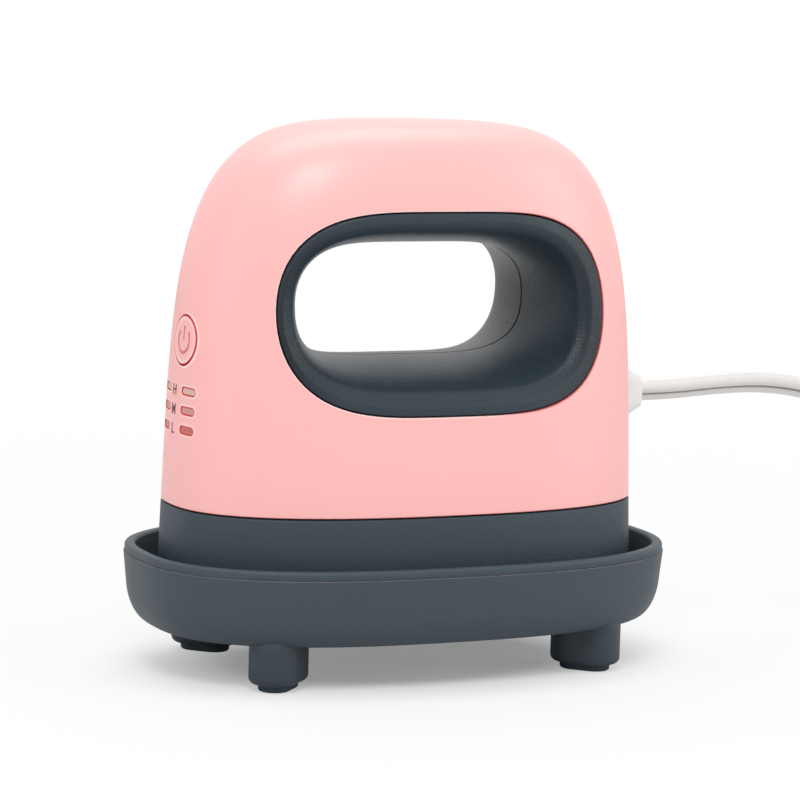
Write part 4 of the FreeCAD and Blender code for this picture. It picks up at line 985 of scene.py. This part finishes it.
@dataclass(frozen=True)
class BaseSkirt:
    """The dark skirt between the shell and the hot face."""

    low: float = mm(17.7)
    high: float = mm(40.35)
    wall: float = mm(2.2)
    low_round: float = mm(1.0)
    high_round: float = mm(0.45)
    groove: float = mm(1.2)
    groove_rise: float = mm(3.0)
    deck: float = mm(31.7)
    foot_lift: float = mm(0.4)
    wall_rows: int = 8
    columns: int = 240

    def build(self, material: Material) -> None:
        """Builds the skirt's wall, its rounded edges, and the deck's underside.

        Args:
            material: its finish.
        """
        turn = turns(self.columns)
        under, over = self.low_round, self.high_round
        profile = [(self.deck, self.wall), (self.low + self.foot_lift, self.wall)]
        profile += [(self.low + under - b, under - a) for a, b in rounding(under)[::-1]]
        heights = np.linspace(self.low + under, self.high - over, self.wall_rows)
        profile += [(z, 0.0) for z in heights[1:-1]]
        profile += [(self.high - over + b, over - a) for a, b in rounding(over)]
        profile += [(self.high, self.groove), (self.high + self.groove_rise, self.groove)]
        rows = np.array([FORM.points(turn, np.full_like(turn, z), inset) for z, inset in profile])
        maker = MeshMaker("skirt_skin")
        maker.grid(rows, wrap=True)
        maker.fan(rows[0], np.array([0, 0, self.deck]), flip=True)
        dress_piece(maker.object(), material, Body.PRESS, ["base_skirt"])


@dataclass(frozen=True)
class RestTray:
    """The footed tray: a round-edged bowl with a stepped rim, on four legs."""

    half_length: float = mm(67.4)
    half_width: float = mm(41.65)
    power: float = 2.56
    bottom: float = mm(11.1)
    top: float = mm(29.7)
    wall: float = mm(2.8)
    floor: float = mm(2.6)
    draft: float = 0.096
    edge_run: float = mm(4.2)
    edge_rise: float = mm(8.5)
    band: float = mm(2.1)
    band_step: float = mm(0.25)
    rim_round: float = mm(0.8)
    notch_rise: float = mm(0.12)
    notch_depth: float = mm(0.08)
    round_points: int = 15
    edge_steps: int = 6
    columns: int = 240
    leg_x: float = mm(40.4)
    leg_y: float = mm(23.85)
    leg_length: float = mm(17.2)
    leg_width: float = mm(12.1)
    leg_low: float = mm(1.7)
    leg_round: float = mm(1.6)
    leg_in_floor: float = 0.8       # share of the floor that a leg rises into
    wall_rows: int = 5
    leg_rows: int = 4
    foot_columns: int = 20
    pad_length: float = mm(12.4)
    pad_width: float = mm(7.6)
    pad_round: float = mm(0.6)
    pad_sunk: float = mm(1.6)

    @property
    def parting(self) -> float:
        """Height of the mould's parting line."""
        return self.top - self.band

    def profile(self) -> list[Pair]:
        """Pairs of inset and height from under the middle, up the outside and down the inside."""
        parting, radius = self.parting, self.rim_round
        climb = np.linspace(0, math.pi / 2, self.round_points)
        up, notch, steps = self.notch_rise, self.notch_depth, self.edge_steps
        outside = [(self.edge_run * (1 - math.sin(a)), self.bottom + self.edge_rise * (1 - math.cos(a)))
                   for a in climb]
        wall = [(0.0, z) for z in np.linspace(outside[-1][1], parting - up, self.wall_rows)[1:]]
        step = [(notch, parting), (self.band_step + notch, parting), (self.band_step, parting + up)]
        rim = rounding(radius, steps)
        outer_rim = [(self.band_step + radius - a, self.top - radius + b) for a, b in rim]
        inner_rim = [(self.wall - radius + a, self.top - radius + b) for a, b in rim[::-1]]
        rise = self.edge_rise - self.floor
        low = self.bottom + self.floor
        inside = [(self.wall + self.edge_run * (1 - math.sin(a)), low + rise * (1 - math.cos(a)))
                  for a in climb[::-1]]
        return outside + wall + step + outer_rim + inner_rim + inside

    def ring(self, inset: float, z: float) -> Array:
        """A ring of the outline, drawn in by inset and by the wall's draft below the parting line."""
        inset += self.draft * max(self.parting - z, 0.0)
        across, along = superellipse(turns(self.columns), self.power)
        return np.stack([(self.half_length - inset) * across, (self.half_width - inset) * along,
                         np.full(self.columns, z)], -1)

    def foot(self, length: float, width: float, low: float, radius: float, top: float) -> Array:
        """A stack of slot outlines with a rounded lower edge.

        Args:
            length: of the slot.
            width: of the slot.
            low: height of its underside.
            radius: of the rounded edge.
            top: height of its upper side.

        Returns:
            Rows by columns of points.
        """
        levels = [(radius - a, low + radius - b) for a, b in rounding(radius, self.edge_steps)[::-1]]
        levels += [(0.0, z) for z in np.linspace(low + radius, top, self.leg_rows)[1:]]
        rows = []
        for drawn, z in levels:
            outline = slot_outline(length - 2 * drawn, width - 2 * drawn, self.foot_columns)
            rows.append(np.column_stack([outline, np.full(len(outline), z)]))
        return np.array(rows)

    def add_feet(self, maker: MeshMaker, rows: Array) -> None:
        """Adds a stack at each foot, turned to the tray's centre, and closes it below and above.

        Args:
            maker: what it is added to.
            rows: the stack, about the origin.
        """
        for side_x in (-1, 1):
            for side_y in (-1, 1):
                turn = math.pi / 4 * side_x * side_y
                spin = np.array([[math.cos(turn), math.sin(turn), 0],
                                 [-math.sin(turn), math.cos(turn), 0], [0, 0, 1]])
                placed = rows @ spin + np.array([side_x * self.leg_x, side_y * self.leg_y, 0])
                maker.grid(placed, wrap=True)
                maker.fan(placed[0], placed[0].mean(axis=0), flip=True)
                maker.fan(placed[-1], placed[-1].mean(axis=0))

    def build(self, tray: Material, pad: Material) -> None:
        """Builds the tray with its legs, and the foot pads.

        Args:
            tray: the tray's finish.
            pad: the pads' finish.
        """
        maker = MeshMaker("tray_skin")
        rows = np.array([self.ring(inset, z) for inset, z in self.profile()])
        maker.grid(rows, wrap=True)
        maker.fan(rows[0], np.array([0, 0, rows[0][0][2]]), flip=True)
        maker.fan(rows[-1], np.array([0, 0, rows[-1][0][2]]))
        self.add_feet(maker, self.foot(self.leg_length, self.leg_width, self.leg_low, self.leg_round,
                                       self.bottom + self.floor * self.leg_in_floor))
        pads = MeshMaker("foot_pads")
        self.add_feet(pads, self.foot(self.pad_length, self.pad_width, 0.0, self.pad_round,
                                      self.leg_low + self.pad_sunk))
        dress_piece(maker.object(), tray, Body.STAND, ["stand_tray"])
        dress_piece(pads.object(), pad, Body.STAND, ["stand_foot_pads"])


# ---------------------------------------------------------------- button end
@dataclass(frozen=True)
class LevelMarks:
    """Thin printed letters between each row's two windows."""

    size: float = mm(3.5)
    boldness: float = mm(0.08)
    centre_y: float = mm(1.0)
    lower: float = mm(0.36)
    proud: float = mm(0.03)

    def letter(self, text: str) -> tuple[Array, Array]:
        """Flat points and triangles of one letter, about its centre.

        Args:
            text: the letter.

        Returns:
            Points across and up, and the triangles between them.
        """
        curve = bpy.data.curves.new(f"mark_{text}", "FONT")
        curve.body = text
        curve.size = self.size
        curve.offset = self.boldness
        curve.align_x = curve.align_y = "CENTER"
        points, triangles = curve_mesh(curve)
        return points[:, :2], triangles

    def build(self, material: Material) -> None:
        """Builds the letters as thin film wrapped on the curved end.

        Args:
            material: the print's finish.
        """
        maker = MeshMaker("level_marks")
        for text, z in zip(END_FACE.letters, END_FACE.row_z):
            flat, triangles = self.letter(text)
            y, up = self.centre_y - flat[:, 0], flat[:, 1] + z - self.lower
            maker.add(np.column_stack([-FORM.end(y, up, -self.proud), y, up]), triangles)
        dress_piece(maker.object(), material, Body.PRESS)


# ---------------------------------------------------------------- power cord
@dataclass(frozen=True)
class PowerCord:
    """Flat twin cord: out of the strain relief, over to its coil, and out to the plug."""

    width: float = mm(6.4)
    thickness: float = mm(3.4)
    waist: float = 0.45
    lobe_points: int = 20
    ridge: float = mm(0.12)
    ridge_at: float = math.radians(8)
    ridge_width: float = 0.16
    ridge_mark: float = 0.4
    waist_width: float = 0.3
    exit: Point = (mm(65.025), 0.0, mm(64.75))
    lead_mm: tuple[Point, ...] = (
        (0.0, 0.0, 64.75), (9.5, 0.0, 64.75), (22.0, 0.0, 65.8),
        (37.0, -0.6, 66.2), (51.5, -3.6, 63.8), (66.5, -10.0, 54.0),
        (79.0, -19.0, 40.0), (90.5, -28.0, 25.6), (104.5, -34.0, 15.4),
    )
    coil_x: float = mm(115.0)
    coil_columns: Pair = (mm(35.3), mm(28.8))
    coil_layers: tuple[float, ...] = (mm(11.9), mm(8.5), mm(5.1), mm(1.7))
    coil_start: float = math.radians(-80.0)
    coil_end: float = math.radians(-62.0)
    points_per_turn: int = 14
    swing: float = 0.2              # share of a lap in which it changes over to the next turn
    curve_steps: int = 8
    tail_mm: tuple[Point, ...] = ((33.5, -20.5, 3.3), (44.5, -10.0, 6.0), (51.5, 1.5, 6.0))
    exit_tilt: float = math.radians(44)
    tilt_from: float = mm(62.0)
    tilt_over: float = mm(70.0)
    blend_start: Point = (mm(95), 0.0, mm(65))
    blend_end: Point = (mm(150), 0.0, mm(15))

    def coil(self) -> Array:
        """Two columns of turns in four layers: in and out again, from the top layer down.

        Each turn but for the short swings between them keeps one column and one layer.
        """
        places = [(radius, z) for layer, z in enumerate(self.coil_layers)
                  for radius in self.coil_columns[::1 if layer % 2 == 0 else -1]]
        places = np.array(places + [places[-1]])
        total = 2 * math.pi * (len(places) - 1) + self.coil_end - self.coil_start
        turned = np.linspace(0, total, int(total / (2 * math.pi) * self.points_per_turn) + 1)
        lap = turned / (2 * math.pi)
        index = np.minimum(lap.astype(int), len(places) - 2)
        into = np.clip((lap - index - (1 - self.swing)) / self.swing, 0.0, 1.0)
        ease = smooth_step(into)[:, None]
        radius, z = (places[index] * (1 - ease) + places[index + 1] * ease).T
        angle = self.coil_start + turned
        return np.column_stack([self.coil_x + radius * np.cos(angle), radius * np.sin(angle), z])

    def route(self) -> Array:
        """Control points of the whole cord, in the row frame."""
        lead, tail = (np.array(points) * mm(1.0) for points in (self.lead_mm, self.tail_mm))
        tail += [self.coil_x, 0.0, 0.0]
        return np.vstack([lead, self.coil(), tail]) + [self.exit[0], 0.0, 0.0]

    def centreline(self) -> Array:
        """Points of the smooth curve that follows the route."""
        route = self.route()
        curve = bpy.data.curves.new("cord_route", "CURVE")
        curve.dimensions = "3D"
        curve.resolution_u = self.curve_steps
        spline = curve.splines.new("NURBS")
        spline.points.add(len(route) - 1)
        spline.points.foreach_set("co", np.column_stack([route, np.ones(len(route))]).ravel())
        spline.order_u = 3
        spline.use_endpoint_u = True
        return curve_mesh(curve)[0]

    def section(self) -> tuple[Array, Array]:
        """The twin section: an arc round each of two lobes, which meet in a narrow waist.

        Returns:
            Points across and up, and marks: 1 at the waist and ridge_mark on one lobe's ridge.
        """
        lobe = self.thickness / 2
        offset = self.width / 2 - lobe
        reach = math.pi - math.asin(self.waist)
        angle = np.linspace(-reach, reach, self.lobe_points)
        ridge = np.exp(-((angle - self.ridge_at) / self.ridge_width) ** 2)
        raised = lobe + self.ridge * ridge
        right = np.stack([offset + raised * np.cos(angle), raised * np.sin(angle)], -1)
        left = np.stack([-offset - lobe * np.cos(angle), -lobe * np.sin(angle)], -1)
        # the marks carry the painted grey shade in the waist's groove and on the ridge
        waist = np.where(np.abs(angle) > reach - self.waist_width, 1.0, 0.0)
        marks = np.concatenate([np.maximum(waist, ridge * self.ridge_mark), waist])
        return np.vstack([right, left]), marks

    def build(self, material: Material) -> None:
        """It leaves the strain relief on edge and turns flat on the way down to its coil.

        Args:
            material: its finish.
        """
        line = self.centreline()
        ahead = np.gradient(line, axis=0)
        ahead /= np.linalg.norm(ahead, axis=1)[:, None]
        side = np.cross(ahead, [0.0, 0.0, 1.0])
        side /= np.linalg.norm(side, axis=1)[:, None]
        over = np.cross(side, ahead)
        along = np.concatenate([[0], np.cumsum(np.linalg.norm(np.diff(line, axis=0), axis=1))])
        level = np.clip((along - self.tilt_from) / self.tilt_over, 0, 1)
        tilt = (self.exit_tilt * (1 - smooth_step(level)))[:, None]
        flat = side * np.cos(tilt) + over * np.sin(tilt)
        normal = over * np.cos(tilt) - side * np.sin(tilt)
        section, marks = self.section()
        rows = (line[:, None, :] + flat[:, None, :] * section[None, :, :1]
                + normal[:, None, :] * section[None, :, 1:])
        maker = MeshMaker("power_cord")
        maker.grid(rows, wrap=True, mark=np.tile(marks, len(line)))
        maker.fan(rows[0], line[0], flip=True)
        maker.fan(rows[-1], line[-1])
        piece = maker.object(sharp_degrees=50)
        piece.data.materials.append(material)
        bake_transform(piece)
        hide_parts("power_cord_lead", "power_cord_coil", "power_cord_tail")
        LOG.info("power cord: %.3f m", along[-1])


# ---------------------------------------------------------------- studio
@dataclass(frozen=True)
class Camera:
    """The view of the press: where it looks from, and how long its lens is."""

    azimuth: float = math.radians(-24.537)
    elevation: float = math.radians(7.314)
    roll: float = math.radians(1.65)
    distance: float = mm(816.03)
    shift_x: float = mm(-0.22)
    aim_z: float = mm(63.996)
    lens_mm: float = 150.96
    sensor_mm: float = 36.0
    clip: Pair = (0.01, 20)

    def build(self) -> None:
        """Makes the scene's camera."""
        a, e = self.azimuth, self.elevation
        back = Vector((math.sin(a) * math.cos(e), -math.cos(a) * math.cos(e), math.sin(e)))
        right = Vector((math.cos(a), math.sin(a), 0.0))
        up = back.cross(right)
        turned_right = right * math.cos(self.roll) + up * math.sin(self.roll)
        turned_up = up * math.cos(self.roll) - right * math.sin(self.roll)
        data = bpy.data.cameras.new("camera")
        data.lens = self.lens_mm
        data.sensor_width = self.sensor_mm
        data.clip_start, data.clip_end = self.clip
        camera = bpy.data.objects.new("camera", data)
        place = back * self.distance + turned_right * self.shift_x + Vector((0, 0, self.aim_z))
        turn = Matrix((turned_right, turned_up, back)).transposed().to_4x4()
        camera.matrix_world = Matrix.Translation(place) @ turn
        bpy.context.scene.collection.objects.link(camera)
        bpy.context.scene.camera = camera


@dataclass(frozen=True)
class SoftBox:
    """A rectangular area light that faces the press."""

    name: str
    place: Point
    width: float
    height: float
    watts: float
    aim: Point = (0, 0, mm(70))

    def build(self) -> None:
        """Adds the light."""
        data = bpy.data.lights.new(self.name, "AREA")
        data.shape = "RECTANGLE"
        data.size, data.size_y = self.width, self.height
        data.energy = self.watts
        light = bpy.data.objects.new(self.name, data)
        light.location = self.place
        away = Vector(self.place) - Vector(self.aim)
        light.rotation_euler = away.to_track_quat("Z", "Y").to_euler()
        bpy.context.scene.collection.objects.link(light)


@dataclass(frozen=True)
class Studio:
    """White sweep, soft lights and an even white surround."""

    floor_half: float = 3.0
    floor_colour: Colour = (0.8, 0.8, 0.8)
    floor_white: float = 0.24
    shadow_half: Pair = (mm(67), mm(42))
    shadow_soft: Pair = (0.6, 1.2)
    beside_white: float = 0.5
    white_from: float = 0.16
    white_to: float = 0.45
    surround: float = 0.5
    lights: tuple[SoftBox, ...] = (
        SoftBox("key", (-0.40, -0.76, 1.05), 0.55, 0.40, 6.9),
        SoftBox("top", (0.05, 0.35, 1.25), 1.1, 0.8, 7.0),
        SoftBox("left", (-1.15, -0.1, 0.5), 0.7, 0.9, 1.4),
        SoftBox("right", (1.05, -0.55, 0.5), 0.7, 0.9, 4.2),
    )

    def build(self) -> None:
        """Adds the floor, the lights and the surround."""
        corners = np.array([[[-1, -1, 0], [1, -1, 0]], [[-1, 1, 0], [1, 1, 0]]]) * self.floor_half
        maker = MeshMaker("floor")
        maker.grid(corners)
        floor = maker.object()
        floor.data.materials.append(self.floor_material())
        for light in self.lights:
            light.build()
        self.build_surround()
        bpy.context.scene.view_settings.view_transform = "Standard"

    def floor_material(self) -> Material:
        """Pale and matt near the object, where it keeps the shadows, and plain white further off."""
        shader = Shader("floor")
        shader.dress({"Base Color": self.floor_colour, "Roughness": 0.9, "Specular IOR Level": 0.1})
        x, y, _ = shader.axes()
        across, along = x / self.shadow_half[0], y / self.shadow_half[1]
        beside = ((across * across + along * along) ** 0.5).over(*self.shadow_soft) * self.beside_white
        far = ((x * x + y * y) ** 0.5).over(self.white_from, self.white_to)
        seen = Value(shader, shader.add("ShaderNodeLightPath").outputs["Is Camera Ray"])
        share = (beside + far * (1 - self.floor_white - self.beside_white) + self.floor_white) * seen
        white = shader.add("ShaderNodeEmission")
        mix = shader.add("ShaderNodeMixShader",
                         {0: share, 1: shader.surface.outputs[0], 2: white.outputs[0]})
        shader.feed(shader.tree.nodes["Material Output"].inputs["Surface"], mix.outputs[0])
        return shader.material

    def build_surround(self) -> None:
        """White where the camera looks and in what mirrors it, and a softer white as light."""
        world = bpy.data.worlds.new("studio")
        world.use_nodes = True
        bpy.context.scene.world = world
        nodes = Nodes(world.node_tree)
        lamp = nodes.tree.nodes["Background"]
        nodes.feed(lamp.inputs["Color"], (1.0, 1.0, 1.0))
        nodes.feed(lamp.inputs["Strength"], self.surround)
        white = nodes.add("ShaderNodeBackground", {"Color": (1.0, 1.0, 1.0), "Strength": 1.0})
        path = nodes.add("ShaderNodeLightPath")
        seen, mirrored, through = (Value(nodes, path.outputs[name]) for name in (
            "Is Camera Ray", "Is Glossy Ray", "Is Transmission Ray"))
        mix = nodes.add("ShaderNodeMixShader",
                        {0: seen.most(mirrored).most(through), 1: lamp.outputs[0], 2: white.outputs[0]})
        nodes.feed(nodes.tree.nodes["World Output"].inputs[0], mix.outputs[0])


# ---------------------------------------------------------------- what each surface is made of, and the light and shade painted on it
def shell_layers(shader: Shader) -> Layers:
    """Painted shade in reds at the shell's seam, slots, button hole and window rim, and painted
    highlights round the slots, the hole and the rim's left side.

    Args:
        shader: the shell's material.

    Returns:
        Colours with their shares, the last on top.
    """
    x, y, z = shader.axes()
    at_end = x.within(mm(-50), mm(2))
    slot, button = END_FACE.from_slot(shader), END_FACE.from_button(shader)
    half_slot, hole = END_FACE.slot_height / 2, END_FACE.button_radius + END_FACE.button_gap
    low = (END_FACE.button_z - z).over(mm(2.5), mm(6.0))
    near_side = (END_FACE.button_y - y).over(mm(-3.0), mm(4.0))
    across = (y - END_FACE.button_y).size() / hole
    # painted highlights: pale pink round the slots, and round the button hole below and beside it
    slot_painted_highlight = slot.within(half_slot + mm(0.35), mm(0.4)) * at_end * 0.7
    hole_painted_highlight = (button - across * mm(0.3)).within(hole + mm(0.4), mm(0.4)) * at_end
    # painted shade in the gaps: coral round the slots and the button hole, deep red below the button
    slot_gap_painted_shade = slot.within(half_slot + mm(0.1), mm(0.1)) * at_end
    hole_gap_painted_shade = (button - across * mm(0.1)).within(hole + mm(0.12), mm(0.12)) * at_end
    hole_shade = button.within(hole + mm(0.24), mm(0.08)) * low * at_end
    # the window rim's mark: painted highlight at its left, painted red shade at its right
    rim = shader.attribute("mark")
    return [(srgb(255, 224, 221), slot_painted_highlight),
            (srgb(255, 228, 225), hole_painted_highlight * low.most(near_side) * 0.8),
            (srgb(232, 92, 80), slot_gap_painted_shade),
            (srgb(234, 78, 68), hole_gap_painted_shade),
            (srgb(206, 20, 14), hole_shade),
            (srgb(255, 226, 222), rim * x.within(mm(8), mm(10)) * 0.8),
            (srgb(226, 92, 88), rim * x.over(mm(12), mm(22)) * 0.7),
            # painted red shade along the shell's lower edge at the seam
            (srgb(206, 96, 90), z.within(FORM.seam + mm(0.12), mm(0.15)) * 0.7)]


def button_layers(shader: Shader) -> Layers:
    """The button's symbol in deeper pink, a painted highlight on its raised edge, and painted red shade
    at its rim below the casing's surface, deepest at the bottom.

    Args:
        shader: the button's material.

    Returns:
        Colours with their shares, the last on top.
    """
    _, y, z = shader.axes()
    side, up = (y - END_FACE.button_y).size(), z - END_FACE.button_z
    radius, limit = END_FACE.from_button(shader), END_FACE.button_radius
    stroke, soft = END_FACE.symbol_stroke / 2 * 0.6, mm(0.35)
    in_opening = (up * math.tan(END_FACE.symbol_opening) - side).over(0.0, mm(0.1))
    ring = (radius - END_FACE.symbol_radius).size().within(stroke, soft) * (1.0 - in_opening)
    top = END_FACE.symbol_radius + mm(0.3)
    bar = side.within(stroke, soft) * up.over(mm(-0.1), mm(0.1)) * up.within(top, mm(0.1))
    # painted highlight on the button's raised edge
    raised = (radius - limit + mm(0.5)).size().within(mm(0.1), mm(0.3))
    # painted shade: coral at the button's rim in the gap, deep red at its lower part
    edge = radius.over(limit - mm(0.05), limit)
    return [(srgb(255, 214, 211), raised * 0.8),
            (srgb(216, 126, 124), ring.most(bar) * 0.9),
            (srgb(234, 84, 74), edge),
            (srgb(196, 20, 16), edge * (0.0 - up).over(mm(2.5), mm(6.0)))]


def lens_layers(shader: Shader) -> Layers:
    """Coral light from the shell's wall round each window's edge."""
    half = END_FACE.slot_height / 2
    return [(srgb(226, 96, 84), END_FACE.from_slot(shader).over(half - mm(0.4), half - mm(0.2)))]


def skirt_layers(shader: Shader) -> Layers:
    """Painted shade: black in the groove between the skirt and the shell."""
    top = BaseSkirt().high
    return [(srgb(12, 12, 14), shader.axes()[2].over(top - mm(0.02), top + mm(0.01)))]


def tray_layers(shader: Shader) -> Layers:
    """The parting line's thin pale flash, with nicks, and painted shade that darkens the legs under the
    tray.
    """
    z = shader.axes()[2]
    line = (z - RestTray().parting).size().within(mm(0.05), mm(0.1))
    nicks = shader.noise(mm(1.6), 3.0).over(0.4, 0.55)
    # painted shade: the legs darker under the tray
    legs = z.within(RestTray().bottom - mm(0.5), mm(1.0))
    return [(srgb(38, 46, 52), legs * 0.5), (srgb(118, 112, 108), line * (nicks * 0.35 + 0.4))]


def grip_layers(shader: Shader) -> Layers:
    """Painted shade: darker towards the ends of the lip, and black where the grip's two halves meet."""
    x, y, _ = shader.axes()
    # painted shade: darker towards the ends of the lip
    lip_ends_painted_shade = x.size().over(mm(28), mm(40)) * y.size().over(mm(20), mm(24))
    return [(srgb(16, 24, 28), lip_ends_painted_shade * 0.7),
            # painted shade: black in the seam between the two halves
            (srgb(10, 11, 12), y.size().within(mm(0.5), mm(0.1)))]


def cord_layers(shader: Shader) -> Layers:
    """Painted shade: grey in the groove between the cord's lobes, and on the fine ridge of one of them.
    """
    mark = shader.attribute("mark")
    return [(srgb(190, 186, 182), mark.over(0.1, 0.4) * 0.5),
            (srgb(150, 143, 138), mark.over(0.5, 0.95) * 0.9)]


# Families of finishes that share a look
hide = partial(Finish, grain=Grain.HIDE, dust=0.2)
metal = partial(Finish, metallic=1.0, grain=Grain.BRUSHED)
smooth = partial(Finish, grain=Grain.SKIN)
lens = partial(Finish, roughness=0.3, grain=Grain.RIBS, grain_size=mm(0.7), grain_depth=mm(0.03),
               layers=lens_layers)

FINISHES: tuple[Finish, ...] = (
    Finish("pink_plastic", srgb(250, 184, 181), 0.36, grain_depth=mm(0.004), unevenness=0.012,
           layers=shell_layers),
    Finish("button_plastic", srgb(250, 184, 181), 0.34, specular=0.4, grain_depth=mm(0.004),
           unevenness=0.012, layers=button_layers),
    hide("slate_plastic", srgb(53, 65, 74), 0.5, specular=0.32, grain_size=mm(0.6),
         grain_depth=mm(0.05), unevenness=0.05, layers=skirt_layers),
    hide("tray_plastic", srgb(58, 70, 78), 0.5, specular=0.35, grain_size=mm(0.6),
         grain_depth=mm(0.04), unevenness=0.05, layers=tray_layers),
    hide("grip_plastic", srgb(47, 58, 66), 0.34, specular=0.25, grain_size=mm(0.75),
         grain_depth=mm(0.06), layers=grip_layers),
    Finish("foot_rubber", srgb(52, 64, 73), 0.7, specular=0.3, unevenness=0.08, dust=0.3),
    Finish("silicone", srgb(92, 94, 98), 0.6, dust=0.3),
    Finish("coated_plate", srgb(66, 66, 68), 0.4, coat=0.3, grain_depth=mm(0.01), dust=0.4),
    metal("heater_steel", (0.4, 0.4, 0.4), 0.35, unevenness=0.12),
    metal("screw_steel", (0.62, 0.61, 0.58), 0.28),
    metal("shield_steel", (0.6, 0.6, 0.6), 0.32, grain_size=mm(0.6)),
    metal("heat_sink", (0.7, 0.7, 0.7), 0.35),
    metal("blade_brass", (0.72, 0.7, 0.62), 0.25),
    Finish("insulation", srgb(222, 218, 206), 0.95, grain=Grain.FIBRE, grain_depth=mm(0.12)),
    Finish("wire_sleeve", srgb(46, 46, 48), 0.4, grain=Grain.FIBRE, grain_depth=mm(0.03)),
    Finish("board_green", srgb(48, 110, 68), 0.3, coat=0.4, grain=Grain.BRUSHED, grain_size=mm(0.8),
           unevenness=0.18),
    Finish("spacer_plastic", srgb(210, 204, 190), 0.55),
    Finish("black_plastic", srgb(38, 38, 40), 0.45),
    Finish("white_plastic", srgb(228, 226, 220), 0.45),
    Finish("terminal_plastic", srgb(62, 136, 88), 0.45),
    Finish("capacitor_plastic", srgb(216, 186, 90), 0.4),
    Finish("plug_white", srgb(217, 216, 214), 0.4, grain_depth=mm(0.004), unevenness=0.02),
    Finish("mark_print", srgb(90, 58, 56), 0.6, unevenness=0.05),
    lens("lens_high", srgb(216, 186, 170)),
    lens("lens_medium", srgb(208, 150, 140)),
    lens("lens_low", srgb(196, 100, 92)),
    smooth("sensor_glass", srgb(200, 150, 110), 0.25),
    smooth("led_plastic", srgb(236, 228, 200), 0.2),
    smooth("fuse_ceramic", srgb(222, 220, 212), 0.3),
    smooth("capacitor_can", srgb(40, 48, 78), 0.3),
    smooth("wire_red", srgb(184, 48, 44), 0.35),
    smooth("wire_white", srgb(222, 222, 216), 0.35),
    smooth("wire_brown", srgb(124, 78, 48), 0.35),
    smooth("cord_white", srgb(226, 225, 223), 0.42, unevenness=0.015),
    smooth("cord_twin", srgb(222, 221, 219), 0.42, unevenness=0.015, layers=cord_layers),
)


def dress_nodes(materials: dict[str, Material]) -> None:
    """Gives every solid of the frame the finish that its record slot names."""
    for entry in frame["record"]["subparts"]:
        node = frame["nodes"][entry["node"]]
        node.data.materials.clear()
        node.data.materials.append(materials[entry["material_slot"]])


def main() -> None:
    """Builds the whole scene."""
    logging.basicConfig(level=logging.INFO, format="%(message)s")
    materials = {finish.name: finish.build() for finish in FINISHES}
    dress_nodes(materials)
    Camera().build()
    PowerCord().build(materials["cord_twin"])
    UpperShell().build(materials["pink_plastic"])
    GripSleeve().build(materials["grip_plastic"])
    BaseSkirt().build(materials["slate_plastic"])
    RestTray().build(materials["tray_plastic"], materials["foot_rubber"])
    LevelMarks().build(materials["mark_print"])
    Studio().build()


if __name__ == "__main__":
    main()
